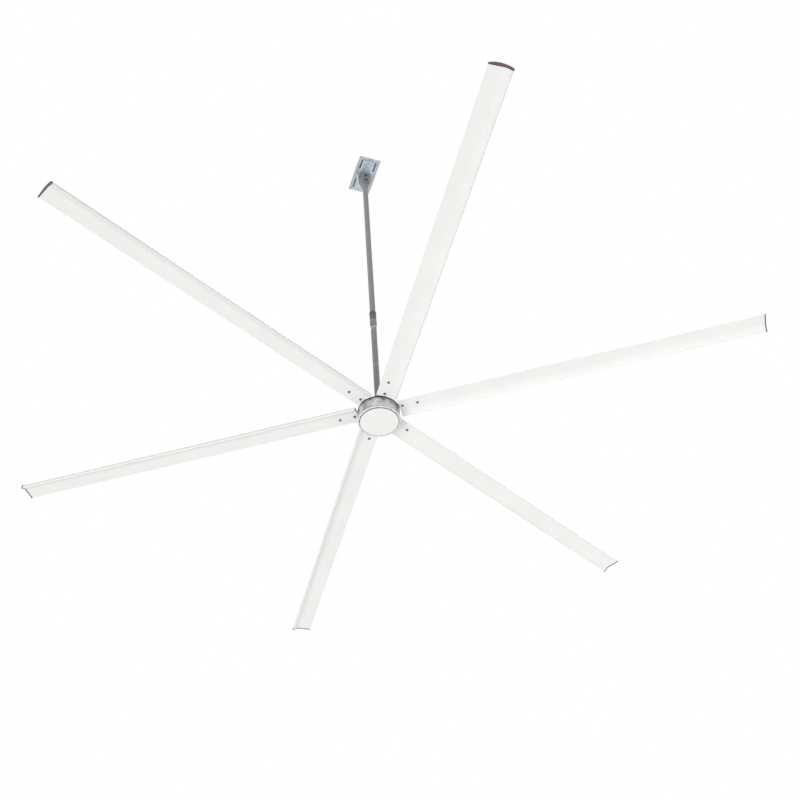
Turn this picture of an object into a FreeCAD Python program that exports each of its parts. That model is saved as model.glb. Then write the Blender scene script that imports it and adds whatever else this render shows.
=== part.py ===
import FreeCAD, Part
import math
import os
import Sketcher

Vec = FreeCAD.Vector
Turn = FreeCAD.Rotation
Placement = FreeCAD.Placement

# Driving dimensions in millimetres and degrees; heights are depths below the ceiling face
SIZES = [
    ("plate_length", 480, "ceiling plate, long side"),
    ("plate_width", 260, "ceiling plate, short side"),
    ("plate_thickness", 8, "ceiling plate, sheet"),
    ("rim_width", 34, "rolled rim along each long edge"),
    ("rim_rise", 5, "how far the rim stands below the sheet"),
    ("slot_length", 126, "ceiling slots, end to end"),
    ("slot_radius", 9, "ceiling slots, half width"),
    ("slot_spacing_long", 270, "slot to slot along the plate"),
    ("slot_spacing_cross", 166, "slot to slot across the plate"),
    ("cheek_width", 124, "fork cheek, across"),
    ("cheek_thickness", 11, "fork cheek, sheet"),
    ("cheek_drop", 214, "fork cheek, lowest point"),
    ("fork_gap", 62, "between the fork cheeks"),
    ("fork_play", 0.8, "between a cheek and the hanger block"),
    ("pivot_drop", 76, "pivot bolt axis"),
    ("lock_spacing", 101, "lock bolt below the pivot bolt"),
    ("tilt_angle", 10, "swing of the rod either way before it is locked"),
    ("fork_bolt_radius", 10, "pivot and lock bolts, shank"),
    ("fork_head_radius", 17, "pivot and lock bolts, over the head's corners"),
    ("fork_head_height", 12, "pivot and lock bolts, head"),
    ("fork_nut_height", 16, "pivot and lock nuts"),
    ("fork_thread_over", 6, "pivot and lock bolts, thread past the nut"),
    ("fork_washer_radius", 19, "pivot and lock washers"),
    ("fork_washer_thickness", 3, "pivot and lock washers"),
    ("lock_slot_play", 0.6, "lock bolt in the slots of the cheeks"),
    ("slide_gap", 0.3, "lock washers to the cheeks"),
    ("hanger_width", 108, "flared head of the rod"),
    ("hanger_taper", 84, "height over which the head narrows"),
    ("hanger_drop", 273, "where the straight rod begins"),
    ("hanger_spigot", 90, "plug of the head in the rod"),
    ("rod_radius", 30, "rod tube, outside"),
    ("rod_wall", 4, "rod tube, wall"),
    ("coupling_drop", 2732, "middle of the coupling sleeve"),
    ("coupling_height", 190, "coupling sleeve"),
    ("coupling_wall", 5, "coupling sleeve"),
    ("coupling_bevel", 2, "coupling sleeve, bevelled rims"),
    ("set_screw_radius", 4, "coupling set screws"),
    ("set_screw_sink", 1, "set screws below the sleeve's face"),
    ("set_screw_spacing", 58, "set screw rows, apart"),
    ("joint_drop", 3464, "joint of the lower rod and the neck"),
    ("joint_spigot_length", 180, "spigot inside that joint"),
    ("joint_spigot_wall", 4, "spigot inside that joint"),
    ("joint_bevel", 2.5, "bevel round the top of the neck"),
    ("flange_radius", 78, "rod flange and shaft flange"),
    ("rod_flange_thickness", 14, "rod flange"),
    ("collar_wall", 9, "collar of the rod flange round the neck"),
    ("collar_height", 34, "collar of the rod flange"),
    ("flange_bolt_circle", 58, "flange bolts, radius of their circle"),
    ("flange_bolt_radius", 6, "flange bolts, shank"),
    ("flange_head_radius", 10, "flange bolts, over the head's corners"),
    ("flange_head_height", 8, "flange bolts, head"),
    ("gland_radius", 9, "cable gland, over the nut's corners"),
    ("gland_height", 22, "cable gland"),
    ("gland_bore", 4, "cable gland, cable hole radius"),
    ("gland_circle", 60, "cable gland, distance from the rod's axis"),
    ("hub_drop", 4096, "top face of the hub"),
    ("shaft_rise", 46, "shaft flange above the hub"),
    ("shaft_flange_thickness", 14, "shaft flange"),
    ("shaft_bore", 22, "hollow shaft, bore radius"),
    ("shaft_radius", 45, "shaft at the bearings"),
    ("shoulder_step", 7, "shaft shoulders beside the bearings"),
    ("carrier_radius", 85, "shaft body under the stator"),
    ("shaft_tail", 3, "shaft past its nut"),
    ("shaft_nut_wall", 15, "shaft nut"),
    ("shaft_nut_height", 9, "shaft nut"),
    ("bearing_radius", 70, "bearings, outside"),
    ("bearing_width", 24, "bearings"),
    ("race_gap", 8, "between the races"),
    ("ball_radius", 7.5, "bearing balls"),
    ("ball_play", 0.3, "balls in their grooves"),
    ("ball_count", 14, "balls in a bearing"),
    ("stator_stack", 48, "stator laminations, height"),
    ("stator_drop", 70, "middle of the stator below the hub's top"),
    ("yoke_wall", 26, "stator yoke"),
    ("stator_radius", 177, "stator, outside"),
    ("tooth_width", 16, "stator teeth"),
    ("tooth_count", 18, "stator teeth"),
    ("coil_build", 7, "coils beside and above their teeth"),
    ("coil_play", 0.3, "coils round their teeth"),
    ("coil_tip_clear", 12, "coils short of the tooth tips"),
    ("magnet_thickness", 8, "rotor magnets"),
    ("magnet_height", 54, "rotor magnets"),
    ("magnet_count", 16, "rotor magnets"),
    ("magnet_span", 20, "angle of a magnet"),
    ("drum_radius", 200, "hub drum, outside"),
    ("drum_wall", 12, "hub drum"),
    ("drum_height", 112, "hub drum"),
    ("top_plate_thickness", 12, "hub top plate"),
    ("bottom_plate_thickness", 10, "hub bottom plate"),
    ("boss_wall", 18, "bearing bosses of the hub plates"),
    ("boss_lip", 6, "shoulder above the lower bearing"),
    ("housing_step", 8, "shoulders of the bearing seats"),
    ("seal_wall", 15, "shaft seal on the hub's top"),
    ("seal_height", 8, "shaft seal"),
    ("seal_play", 0.5, "shaft seal to the shaft"),
    ("trim_reach", 7, "trim ring beyond the drum"),
    ("trim_height", 10, "trim ring under the drum"),
    ("trim_bevel", 3, "trim ring, bevelled edge"),
    ("screw_radius", 3, "hub screws, shank"),
    ("screw_head_radius", 5.5, "hub screws, head"),
    ("screw_head_height", 5, "hub screws, head"),
    ("screw_grip", 16, "hub screws, thread in the drum"),
    ("screw_angle", 10, "hub screws, to either side of halfway between two arms"),
    ("cover_gap", 3, "between the trim ring and the bottom cover"),
    ("cover_thickness", 4, "bottom cover"),
    ("cover_depth", 20, "bottom cover's face below the hub's bottom plate"),
    ("cover_rim", 17, "bottom cover, height of its rim"),
    ("cover_bevel", 4, "bottom cover, bevelled edge"),
    ("post_radius", 8, "posts that carry the bottom cover"),
    ("post_circle", 140, "posts, radius of their circle"),
    ("post_count", 4, "posts"),
    ("blade_count", 6, "blades"),
    ("blade_start", -4, "angle of the first blade"),
    ("blade_pitch", -2, "blades, twist about their arms"),
    ("blade_root", 205, "inner end of the blades"),
    ("blade_tip", 3650, "outer end of the tip caps"),
    ("thin_reach", 74, "blade section, from the arm's axis to its thin edge"),
    ("blunt_reach", 124, "blade section, from the arm's axis to its blunt edge"),
    ("blade_depth", 38, "blade section at its crown"),
    ("crown_offset", 36, "crown, from the arm's axis towards the blunt edge"),
    ("thin_radius", 3.5, "rounded thin edge"),
    ("flat_reach", 44, "flat underside, from the arm's axis towards the blunt edge"),
    ("blunt_droop", 34, "blunt edge below the flat underside"),
    ("blunt_height", 36, "blunt edge"),
    ("blunt_bulge", 13, "blunt edge, its rounding outwards"),
    ("skin", 2, "blade wall"),
    ("blunt_cell_reach", 108, "hollow of the blade by its blunt edge"),
    ("arm_width", 56, "blade arms"),
    ("arm_thickness", 12, "blade arms"),
    ("arm_start", 105, "inner end of the arms"),
    ("arm_clear", 1, "twisted part of the arms starts this far outside the drum"),
    ("root_gap", 2, "flat part of the arms ends this far short of the blades"),
    ("arm_reach", 430, "outer end of the arms"),
    ("arm_side_play", 0.5, "arm between the webs of a blade"),
    ("arm_bolt_inner", 126, "inner arm bolts, from the axis"),
    ("arm_bolt_outer", 174, "outer arm bolts, from the axis"),
    ("arm_bolt_radius", 6, "arm bolts, shank"),
    ("arm_head_radius", 11, "arm bolts, over the head's corners"),
    ("arm_head_height", 8, "arm bolts, head"),
    ("blade_bolt_inner", 237, "inner blade bolts, from the axis"),
    ("blade_bolt_outer", 383, "outer blade bolts, from the axis"),
    ("blade_bolt_radius", 6, "blade bolts, shank"),
    ("blade_head_radius", 12, "blade bolts, over the head's corners"),
    ("blade_head_height", 8, "blade bolts, head"),
    ("blade_nut_height", 10, "blade nuts"),
    ("blade_thread_over", 2, "blade bolts, thread past the nut"),
    ("cap_thickness", 10, "tip caps"),
    ("cap_proud", 4, "tip caps beyond the blade section"),
    ("cap_plug", 45, "plug of a tip cap in its blade"),
    ("fit", 0.05, "close fits"),
    ("pin_play", 0.08, "pivot bolt in the hanger block"),
]


class Size:
    """A number together with the formula of sheet cells that gives it."""

    def __init__(self, text, value):
        self.text = text
        self.value = value

    def __add__(self, other):
        return combine(self, "+", other)

    def __radd__(self, other):
        return combine(other, "+", self)

    def __sub__(self, other):
        return combine(self, "-", other)

    def __rsub__(self, other):
        return combine(other, "-", self)

    def __mul__(self, other):
        return combine(self, "*", other)

    def __rmul__(self, other):
        return combine(other, "*", self)

    def __truediv__(self, other):
        return combine(self, "/", other)

    def __neg__(self):
        return combine(0, "-", self)


OPERATIONS = {
    "+": lambda a, b: a + b,
    "-": lambda a, b: a - b,
    "*": lambda a, b: a * b,
    "/": lambda a, b: a / b,
}


def as_size(item):
    return item if isinstance(item, Size) else Size(repr(item), item)


def combine(first, sign, second):
    first = as_size(first)
    second = as_size(second)
    return Size(f"({first.text} {sign} {second.text})", OPERATIONS[sign](first.value, second.value))


class Sheet:
    """The spreadsheet of driving dimensions, whose cells are read as sizes."""

    def __init__(self, document, rows):
        cells = document.addObject("Spreadsheet::Sheet", "Dims")
        for row, (alias, value, meaning) in enumerate(rows, 1):
            cells.set(f"A{row}", meaning)
            cells.set(f"B{row}", str(value))
            cells.setAlias(f"B{row}", alias)
        document.recompute()
        for alias, value, meaning in rows:
            setattr(self, alias, Size(f"Dims.{alias}", float(getattr(cells, alias))))


doc = FreeCAD.newDocument("ceiling_fan")
dim = Sheet(doc, SIZES)
nodes = []


def node(feature, label):
    """Name a finished piece, so that it is written out."""
    feature.Label = label
    nodes.append(feature)
    return feature


def bind(feature, **sizes):
    for name, size in sizes.items():
        feature.setExpression(name, as_size(size).text)


def place(feature, x=0, y=0, z=0, turn=None):
    if turn is not None:
        feature.Placement = Placement(Vec(), turn)
    for axis, size in zip("xyz", (x, y, z)):
        feature.setExpression(f"Placement.Base.{axis}", as_size(size).text)
    return feature


def cylinder(radius, height, x=0, y=0, z=0, turn=None):
    piece = doc.addObject("Part::Cylinder", "Round")
    bind(piece, Radius=radius, Height=height)
    return place(piece, x, y, z, turn)


def round_at(radius, height, where):
    piece = doc.addObject("Part::Cylinder", "Round")
    bind(piece, Radius=radius, Height=height)
    piece.Placement = where
    return piece


def box(length, width, height, x=0, y=0, z=0, turn=None):
    piece = doc.addObject("Part::Box", "Block")
    bind(piece, Length=length, Width=width, Height=height)
    return place(piece, x, y, z, turn)


def hexagon(radius, height, z=0):
    piece = doc.addObject("Part::Prism", "Hexagon")
    piece.Polygon = 6
    bind(piece, Circumradius=radius, Height=height)
    return place(piece, z=z)


def group(pieces):
    bundle = doc.addObject("Part::Compound", "Group")
    bundle.Links = pieces
    return bundle


def fuse(pieces):
    whole = doc.addObject("Part::MultiFuse", "Joined")
    whole.Shapes = pieces
    return whole


def cut(base, tools):
    piece = doc.addObject("Part::Cut", "Cut")
    piece.Base = base
    piece.Tool = tools[0] if len(tools) == 1 else group(tools)
    return piece


def tube(outer, inner, height, z):
    return cut(cylinder(outer, height, z=z), [cylinder(inner, height, z=z)])


def outline_sketch(body, role, corners):
    """Closed straight-sided outline whose corners are held by pairs of sizes."""
    plane = next(item for item in body.Origin.OriginFeatures if item.Role == role)
    sketch = body.newObject("Sketcher::SketchObject", "Outline")
    sketch.AttachmentSupport = [(plane, "")]
    sketch.MapMode = "FlatFace"
    corners = [(as_size(x), as_size(y)) for x, y in corners]
    points = [Vec(x.value, y.value, 0) for x, y in corners]
    count = len(points)
    for index, start in enumerate(points):
        sketch.addGeometry(Part.LineSegment(start, points[(index + 1) % count]), False)
    for index in range(count):
        sketch.addConstraint(Sketcher.Constraint("Coincident", index, 2, (index + 1) % count, 1))
    horizontal_axis, vertical_axis = -1, -2
    for index, (x, y) in enumerate(corners):
        for kind, size, axis in (("DistanceX", x, vertical_axis), ("DistanceY", y, horizontal_axis)):
            if size.text == "0":
                sketch.addConstraint(Sketcher.Constraint("PointOnObject", index, 1, axis))
            else:
                number = sketch.addConstraint(Sketcher.Constraint(kind, -1, 1, index, 1, size.value))
                sketch.setExpression(f"Constraints[{number}]", size.text)
    return sketch


def turned(corners, z):
    """Body of revolution: corners are (radius, height above z)."""
    body = doc.addObject("PartDesign::Body", "Turned")
    sketch = outline_sketch(body, "XZ_Plane", corners)
    spin = body.newObject("PartDesign::Revolution", "Spin")
    spin.Profile = sketch
    spin.ReferenceAxis = (sketch, ["V_Axis"])
    spin.Angle = 360
    return place(body, z=z)


def padded(corners, length, x, y, z):
    """Body with a straight-sided outline in the YZ plane, padded along X."""
    body = doc.addObject("PartDesign::Body", "Padded")
    sketch = outline_sketch(body, "YZ_Plane", corners)
    pad = body.newObject("PartDesign::Pad", "Pad")
    pad.Profile = sketch
    bind(pad, Length=length)
    return place(body, x, y, z)


def bolt(shank_radius, head_radius, head_height, shank_length, where):
    """Hexagon bolt with its head above its own zero and its shank below."""
    shank = cylinder(shank_radius, shank_length, z=-shank_length)
    whole = fuse([hexagon(head_radius, head_height), shank])
    whole.Placement = where
    return whole


def nut(bore, radius, height, where):
    piece = cut(hexagon(radius, height), [cylinder(bore, height)])
    piece.Placement = where
    return piece


def washer(bore, radius, thickness, where):
    piece = tube(radius, bore, thickness, 0)
    piece.Placement = where
    return piece


def spot(x=0, y=0, z=0, turn=None):
    numbers = [as_size(item).value for item in (x, y, z)]
    return Placement(Vec(*numbers), turn or Turn())


def about_z(degrees):
    return Placement(Vec(), Turn(Vec(0, 0, 1), degrees))


ALONG_X = Turn(Vec(0, 1, 0), 90)
HEAD_DOWN = Turn(Vec(1, 0, 0), 180)


# Ceiling mount
def make_mount_plate():
    bottom = -dim.plate_thickness
    sheet = box(dim.plate_length, dim.plate_width, dim.plate_thickness,
                -dim.plate_length / 2, -dim.plate_width / 2, bottom)
    rim_height = dim.plate_thickness + dim.rim_rise
    rims = [box(dim.plate_length, dim.rim_width, rim_height, -dim.plate_length / 2, y, -rim_height)
            for y in (-dim.plate_width / 2, dim.plate_width / 2 - dim.rim_width)]
    straight = dim.slot_length - dim.slot_radius * 2
    slots = []
    for along in (-1, 1):
        for across in (-1, 1):
            x = dim.slot_spacing_long * along / 2
            y = dim.slot_spacing_cross * across / 2
            middle = box(straight, dim.slot_radius * 2, dim.plate_thickness,
                         x - straight / 2, y - dim.slot_radius, bottom)
            ends = [cylinder(dim.slot_radius, dim.plate_thickness, x + straight * side / 2, y, bottom)
                    for side in (-1, 1)]
            slots.append(fuse([middle] + ends))
    node(cut(fuse([sheet] + rims), slots), "mount_plate")


def lock_slot(length, x):
    """Curved slot in a cheek, in which the lock bolt swings about the pivot bolt."""
    half_width = dim.fork_bolt_radius + dim.lock_slot_play
    tilt = dim.tilt_angle.value
    sector = cylinder(dim.lock_spacing + half_width, length)
    bind(sector, Angle=dim.tilt_angle * 2)
    band = cut(sector, [cylinder(dim.lock_spacing - half_width, length)])
    band.Placement = spot(x, 0, -dim.pivot_drop, ALONG_X * Turn(Vec(0, 0, 1), -tilt))
    ends = []
    for side in (-tilt, tilt):
        reach = Turn(Vec(1, 0, 0), side).multVec(Vec(0, 0, -dim.lock_spacing.value))
        ends.append(round_at(half_width, length, spot(x, reach.y, reach.z - dim.pivot_drop, ALONG_X)))
    return fuse([band] + ends)


def make_fork_cheeks():
    round_z = dim.cheek_width / 2 - dim.cheek_drop
    height = -round_z - dim.plate_thickness
    for label, x in (("fork_cheek_front", dim.fork_gap / 2),
                     ("fork_cheek_back", -dim.fork_gap / 2 - dim.cheek_thickness)):
        web = box(dim.cheek_thickness, dim.cheek_width, height, x, -dim.cheek_width / 2, round_z)
        foot = cylinder(dim.cheek_width / 2, dim.cheek_thickness, x, 0, round_z, ALONG_X)
        pivot_hole = cylinder(dim.fork_bolt_radius + dim.fit, dim.cheek_thickness,
                              x, 0, -dim.pivot_drop, ALONG_X)
        node(cut(fuse([web, foot]), [pivot_hole, lock_slot(dim.cheek_thickness, x)]), label)


def make_fork_fasteners(name, z, stand_off):
    """One bolt across the fork, head to the front, with its nut and two washers."""
    face = dim.fork_gap / 2 + dim.cheek_thickness + stand_off
    seat = face + dim.fork_washer_thickness
    grip = seat * 2 + dim.fork_nut_height + dim.fork_thread_over
    node(bolt(dim.fork_bolt_radius, dim.fork_head_radius, dim.fork_head_height, grip,
              spot(seat, 0, z, ALONG_X)), f"{name}_bolt")
    bore = dim.fork_bolt_radius + dim.fit
    node(nut(bore, dim.fork_head_radius, dim.fork_nut_height,
             spot(-seat - dim.fork_nut_height, 0, z, ALONG_X)), f"{name}_nut")
    washers = [washer(bore, dim.fork_washer_radius, dim.fork_washer_thickness, spot(x, 0, z, ALONG_X))
               for x in (face, -seat)]
    node(group(washers), f"{name}_washers")


# Downrod
def make_hanger_block():
    thickness = dim.fork_gap - dim.fork_play * 2
    left = -thickness / 2
    height = dim.hanger_drop - dim.pivot_drop
    middle = dim.hanger_width / 2
    corners = [
        (middle - dim.rod_radius, 0),
        (middle + dim.rod_radius, 0),
        (dim.hanger_width, dim.hanger_taper),
        (dim.hanger_width, height),
        (0, height),
        (0, dim.hanger_taper),
    ]
    neck = padded(corners, thickness, left, -middle, -dim.hanger_drop)
    eye = cylinder(middle, thickness, left, 0, -dim.pivot_drop, ALONG_X)
    plug = cylinder(dim.rod_radius - dim.rod_wall - dim.fit, dim.hanger_spigot,
                    z=-dim.hanger_drop - dim.hanger_spigot)
    pivot_hole = cylinder(dim.fork_bolt_radius + dim.pin_play, thickness, left, 0, -dim.pivot_drop, ALONG_X)
    lock_hole = cylinder(dim.fork_bolt_radius + dim.fit, thickness,
                         left, 0, -dim.pivot_drop - dim.lock_spacing, ALONG_X)
    node(cut(fuse([neck, eye, plug]), [pivot_hole, lock_hole]), "hanger_block")


rod_bore = dim.rod_radius - dim.rod_wall
shaft_flange_top = dim.shaft_rise + dim.shaft_flange_thickness - dim.hub_drop
rod_flange_top = shaft_flange_top + dim.rod_flange_thickness


def make_rods():
    node(tube(dim.rod_radius, rod_bore, dim.coupling_drop - dim.hanger_drop, -dim.coupling_drop), "upper_rod")
    node(tube(dim.rod_radius, rod_bore, dim.joint_drop - dim.coupling_drop, -dim.joint_drop), "lower_rod")
    neck_height = -dim.joint_drop - rod_flange_top
    corners = [
        (rod_bore, 0),
        (dim.rod_radius, 0),
        (dim.rod_radius, neck_height - dim.joint_bevel),
        (dim.rod_radius - dim.joint_bevel, neck_height),
        (rod_bore, neck_height),
    ]
    node(turned(corners, rod_flange_top), "neck_tube")
    spigot_radius = rod_bore - dim.fit
    node(tube(spigot_radius, spigot_radius - dim.joint_spigot_wall, dim.joint_spigot_length,
              -dim.joint_drop - dim.joint_spigot_length / 2), "joint_spigot")


def make_coupling():
    inner = dim.rod_radius + dim.fit
    outer = dim.rod_radius + dim.coupling_wall
    base = -dim.coupling_drop - dim.coupling_height / 2
    corners = [
        (inner, 0),
        (outer - dim.coupling_bevel, 0),
        (outer, dim.coupling_bevel),
        (outer, dim.coupling_height - dim.coupling_bevel),
        (outer - dim.coupling_bevel, dim.coupling_height),
        (inner, dim.coupling_height),
    ]
    sleeve = turned(corners, base)
    holes = []
    screws = []
    for row in (-1, 1):
        z = dim.set_screw_spacing * row / 2 - dim.coupling_drop
        for side in (-1, 1):
            screw_length = dim.coupling_wall - dim.set_screw_sink - dim.fit
            start = inner if side > 0 else -inner - screw_length
            hole_start = dim.rod_radius if side > 0 else -dim.rod_radius - dim.coupling_wall * 2
            holes.append(cylinder(dim.set_screw_radius + dim.fit, dim.coupling_wall * 2,
                                  hole_start, 0, z, ALONG_X))
            screws.append(cylinder(dim.set_screw_radius, screw_length, start, 0, z, ALONG_X))
    node(cut(sleeve, holes), "rod_coupling")
    node(group(screws), "coupling_screws")


def circle_spots(radius, count, start_angle, z, turn=None):
    """Places spread evenly on a circle about the rod's axis."""
    for index in range(count):
        yield about_z(start_angle + 360 * index / count) * spot(radius, 0, z, turn)


FLANGE_BOLTS = 6
GLAND_ANGLE = 180 / FLANGE_BOLTS


def flange_holes(base, height, radius):
    return [round_at(radius, height, where)
            for where in circle_spots(dim.flange_bolt_circle, FLANGE_BOLTS, 0, base)]


def make_rod_flange():
    inner = dim.rod_radius + dim.fit
    collar = inner + dim.collar_wall
    top = dim.rod_flange_thickness + dim.collar_height
    corners = [
        (rod_bore, 0),
        (dim.flange_radius, 0),
        (dim.flange_radius, dim.rod_flange_thickness),
        (collar, dim.rod_flange_thickness),
        (collar, top),
        (inner, top),
        (inner, dim.rod_flange_thickness),
        (rod_bore, dim.rod_flange_thickness),
    ]
    disc = turned(corners, shaft_flange_top)
    bolt_holes = flange_holes(shaft_flange_top, dim.rod_flange_thickness, dim.flange_bolt_radius + dim.fit)
    node(cut(disc, bolt_holes), "rod_flange")
    grip = dim.rod_flange_thickness + dim.shaft_flange_thickness
    bolts = [bolt(dim.flange_bolt_radius, dim.flange_head_radius, dim.flange_head_height, grip, where)
             for where in circle_spots(dim.flange_bolt_circle, FLANGE_BOLTS, 0, rod_flange_top)]
    node(group(bolts), "flange_bolts")


def make_cable_gland():
    gland = cut(hexagon(dim.gland_radius, dim.gland_height), [cylinder(dim.gland_bore, dim.gland_height)])
    gland.Placement = about_z(GLAND_ANGLE) * spot(dim.gland_circle, 0, rod_flange_top)
    node(gland, "cable_gland")


# Motor, standing still
top_plate_base = -dim.hub_drop - dim.top_plate_thickness
drum_base = top_plate_base - dim.drum_height
bottom_plate_base = drum_base - dim.bottom_plate_thickness
upper_bearing_base = top_plate_base - dim.bearing_width
lower_bearing_base = bottom_plate_base
stator_base = -dim.hub_drop - dim.stator_drop - dim.stator_stack / 2


def make_motor_shaft():
    base = lower_bearing_base - dim.shaft_nut_height - dim.shaft_tail
    shoulder = dim.shaft_radius + dim.shoulder_step
    flange_base = shaft_flange_top - dim.shaft_flange_thickness - base
    lower_seat = lower_bearing_base + dim.bearing_width - base
    upper_seat = upper_bearing_base - base
    carrier_base = stator_base - base
    carrier_top = carrier_base + dim.stator_stack
    corners = [
        (dim.shaft_bore, 0),
        (dim.shaft_radius, 0),
        (dim.shaft_radius, lower_seat),
        (shoulder, lower_seat),
        (shoulder, carrier_base),
        (dim.carrier_radius, carrier_base),
        (dim.carrier_radius, carrier_top),
        (shoulder, carrier_top),
        (shoulder, upper_seat),
        (dim.shaft_radius, upper_seat),
        (dim.shaft_radius, flange_base),
        (dim.flange_radius, flange_base),
        (dim.flange_radius, shaft_flange_top - base),
        (dim.shaft_bore, shaft_flange_top - base),
    ]
    blank = turned(corners, base)
    bolt_holes = flange_holes(shaft_flange_top - dim.shaft_flange_thickness, dim.shaft_flange_thickness,
                              dim.flange_bolt_radius + dim.fit)
    node(cut(blank, bolt_holes), "motor_shaft")
    bore = dim.shaft_radius + dim.fit
    ring_nut = cut(hexagon(bore + dim.shaft_nut_wall, dim.shaft_nut_height),
                   [cylinder(bore, dim.shaft_nut_height)])
    node(place(ring_nut, z=lower_bearing_base - dim.shaft_nut_height), "shaft_nut")


def make_stator():
    bore = dim.carrier_radius + dim.fit
    yoke = tube(bore + dim.yoke_wall, bore, dim.stator_stack, stator_base)
    count = round(dim.tooth_count.value)
    tooth_start = bore + dim.yoke_wall / 2
    coil_start = bore + dim.yoke_wall + dim.coil_play
    coil_length = dim.stator_radius - dim.coil_tip_clear - coil_start
    coil_width = dim.tooth_width + dim.coil_build * 2
    coil_height = dim.stator_stack + dim.coil_build * 2
    hole_width = dim.tooth_width + dim.coil_play * 2
    hole_height = dim.stator_stack + dim.coil_play * 2
    middle = stator_base + dim.stator_stack / 2
    teeth = []
    coils = []
    for index in range(count):
        where = about_z(360 * index / count)
        tooth = group([box(dim.stator_radius - tooth_start, dim.tooth_width, dim.stator_stack,
                           tooth_start, -dim.tooth_width / 2, stator_base)])
        tooth.Placement = where
        teeth.append(tooth)
        coil = cut(box(coil_length, coil_width, coil_height,
                       coil_start, -coil_width / 2, middle - coil_height / 2),
                   [box(coil_length, hole_width, hole_height,
                        coil_start, -hole_width / 2, middle - hole_height / 2)])
        coil.Placement = where
        coils.append(coil)
    trimmed = doc.addObject("Part::MultiCommon", "Turned_teeth")
    trimmed.Shapes = [fuse([yoke] + teeth), cylinder(dim.stator_radius, dim.stator_stack, z=stator_base)]
    node(trimmed, "stator_core")
    node(group(coils), "stator_coils")


def make_bearing(name, base):
    inner = dim.shaft_radius + dim.fit
    ball_circle = (inner + dim.bearing_radius) / 2
    middle = base + dim.bearing_width / 2
    groove_radius = dim.ball_radius + dim.ball_play
    for label, bore, outer in (("inner_race", inner, ball_circle - dim.race_gap / 2),
                               ("outer_race", ball_circle + dim.race_gap / 2, dim.bearing_radius)):
        groove = doc.addObject("Part::Torus", "Groove")
        bind(groove, Radius1=ball_circle, Radius2=groove_radius)
        place(groove, z=middle)
        node(cut(tube(outer, bore, dim.bearing_width, base), [groove]), f"{name}_{label}")
    balls = []
    for where in circle_spots(ball_circle, round(dim.ball_count.value), 0, middle):
        ball = doc.addObject("Part::Sphere", "Ball")
        bind(ball, Radius=dim.ball_radius)
        ball.Placement = where
        balls.append(ball)
    node(group(balls), f"{name}_balls")


# Hub, turning
housing_bore = dim.bearing_radius + dim.fit
housing_shoulder = dim.bearing_radius - dim.housing_step
boss_radius = housing_bore + dim.boss_wall
screw_circle = dim.drum_radius - dim.drum_wall / 2
blade_step = 360 / dim.blade_count.value


def hub_screw_angles():
    """Two screws in each space between neighbouring arms."""
    for index in range(round(dim.blade_count.value)):
        halfway = dim.blade_start.value + blade_step * (index + 0.5)
        yield halfway - dim.screw_angle.value
        yield halfway + dim.screw_angle.value


def upright(radius, height, distance, z, angle):
    return round_at(radius, height, about_z(angle) * spot(distance, 0, z))


def arm_bolt_holes(height, z, angle):
    return [upright(dim.arm_bolt_radius + dim.fit, height, distance, z, angle)
            for distance in (dim.arm_bolt_inner, dim.arm_bolt_outer)]


def blade_angles():
    return [dim.blade_start.value + blade_step * index for index in range(round(dim.blade_count.value))]


def make_top_plate():
    rise = dim.bearing_width
    top = rise + dim.top_plate_thickness
    corners = [
        (housing_bore, 0),
        (boss_radius, 0),
        (boss_radius, rise),
        (dim.drum_radius, rise),
        (dim.drum_radius, top),
        (housing_shoulder, top),
        (housing_shoulder, rise),
        (housing_bore, rise),
    ]
    holes = [upright(dim.screw_radius + dim.fit, dim.top_plate_thickness,
                     screw_circle, top_plate_base, angle) for angle in hub_screw_angles()]
    for angle in blade_angles():
        holes += arm_bolt_holes(dim.top_plate_thickness, top_plate_base, angle)
    node(cut(turned(corners, upper_bearing_base), holes), "rotor_top_plate")


def make_drum():
    inner = dim.drum_radius - dim.drum_wall
    wall = tube(dim.drum_radius, inner, dim.drum_height, drum_base)
    holes = [upright(dim.screw_radius + dim.fit, dim.screw_grip + dim.fit, screw_circle, z, angle)
             for angle in hub_screw_angles()
             for z in (drum_base, top_plate_base - dim.screw_grip - dim.fit)]
    node(cut(wall, holes), "rotor_drum")
    magnets = []
    magnet_base = stator_base + dim.stator_stack / 2 - dim.magnet_height / 2
    magnet_outer = inner - dim.fit
    count = round(dim.magnet_count.value)
    for index in range(count):
        block = cylinder(magnet_outer, dim.magnet_height, z=magnet_base)
        bind(block, Angle=dim.magnet_span)
        core = cylinder(magnet_outer - dim.magnet_thickness, dim.magnet_height, z=magnet_base)
        magnet = cut(block, [core])
        magnet.Placement = about_z(360 * index / count)
        magnets.append(magnet)
    node(group(magnets), "rotor_magnets")


def make_bottom_plate():
    top = dim.bearing_width + dim.boss_lip
    corners = [
        (housing_bore, 0),
        (dim.drum_radius, 0),
        (dim.drum_radius, dim.bottom_plate_thickness),
        (boss_radius, dim.bottom_plate_thickness),
        (boss_radius, top),
        (housing_shoulder, top),
        (housing_shoulder, dim.bearing_width),
        (housing_bore, dim.bearing_width),
    ]
    holes = [upright(dim.screw_radius + dim.fit, dim.bottom_plate_thickness,
                          screw_circle, bottom_plate_base, angle) for angle in hub_screw_angles()]
    node(cut(turned(corners, bottom_plate_base), holes), "rotor_bottom_plate")


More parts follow.
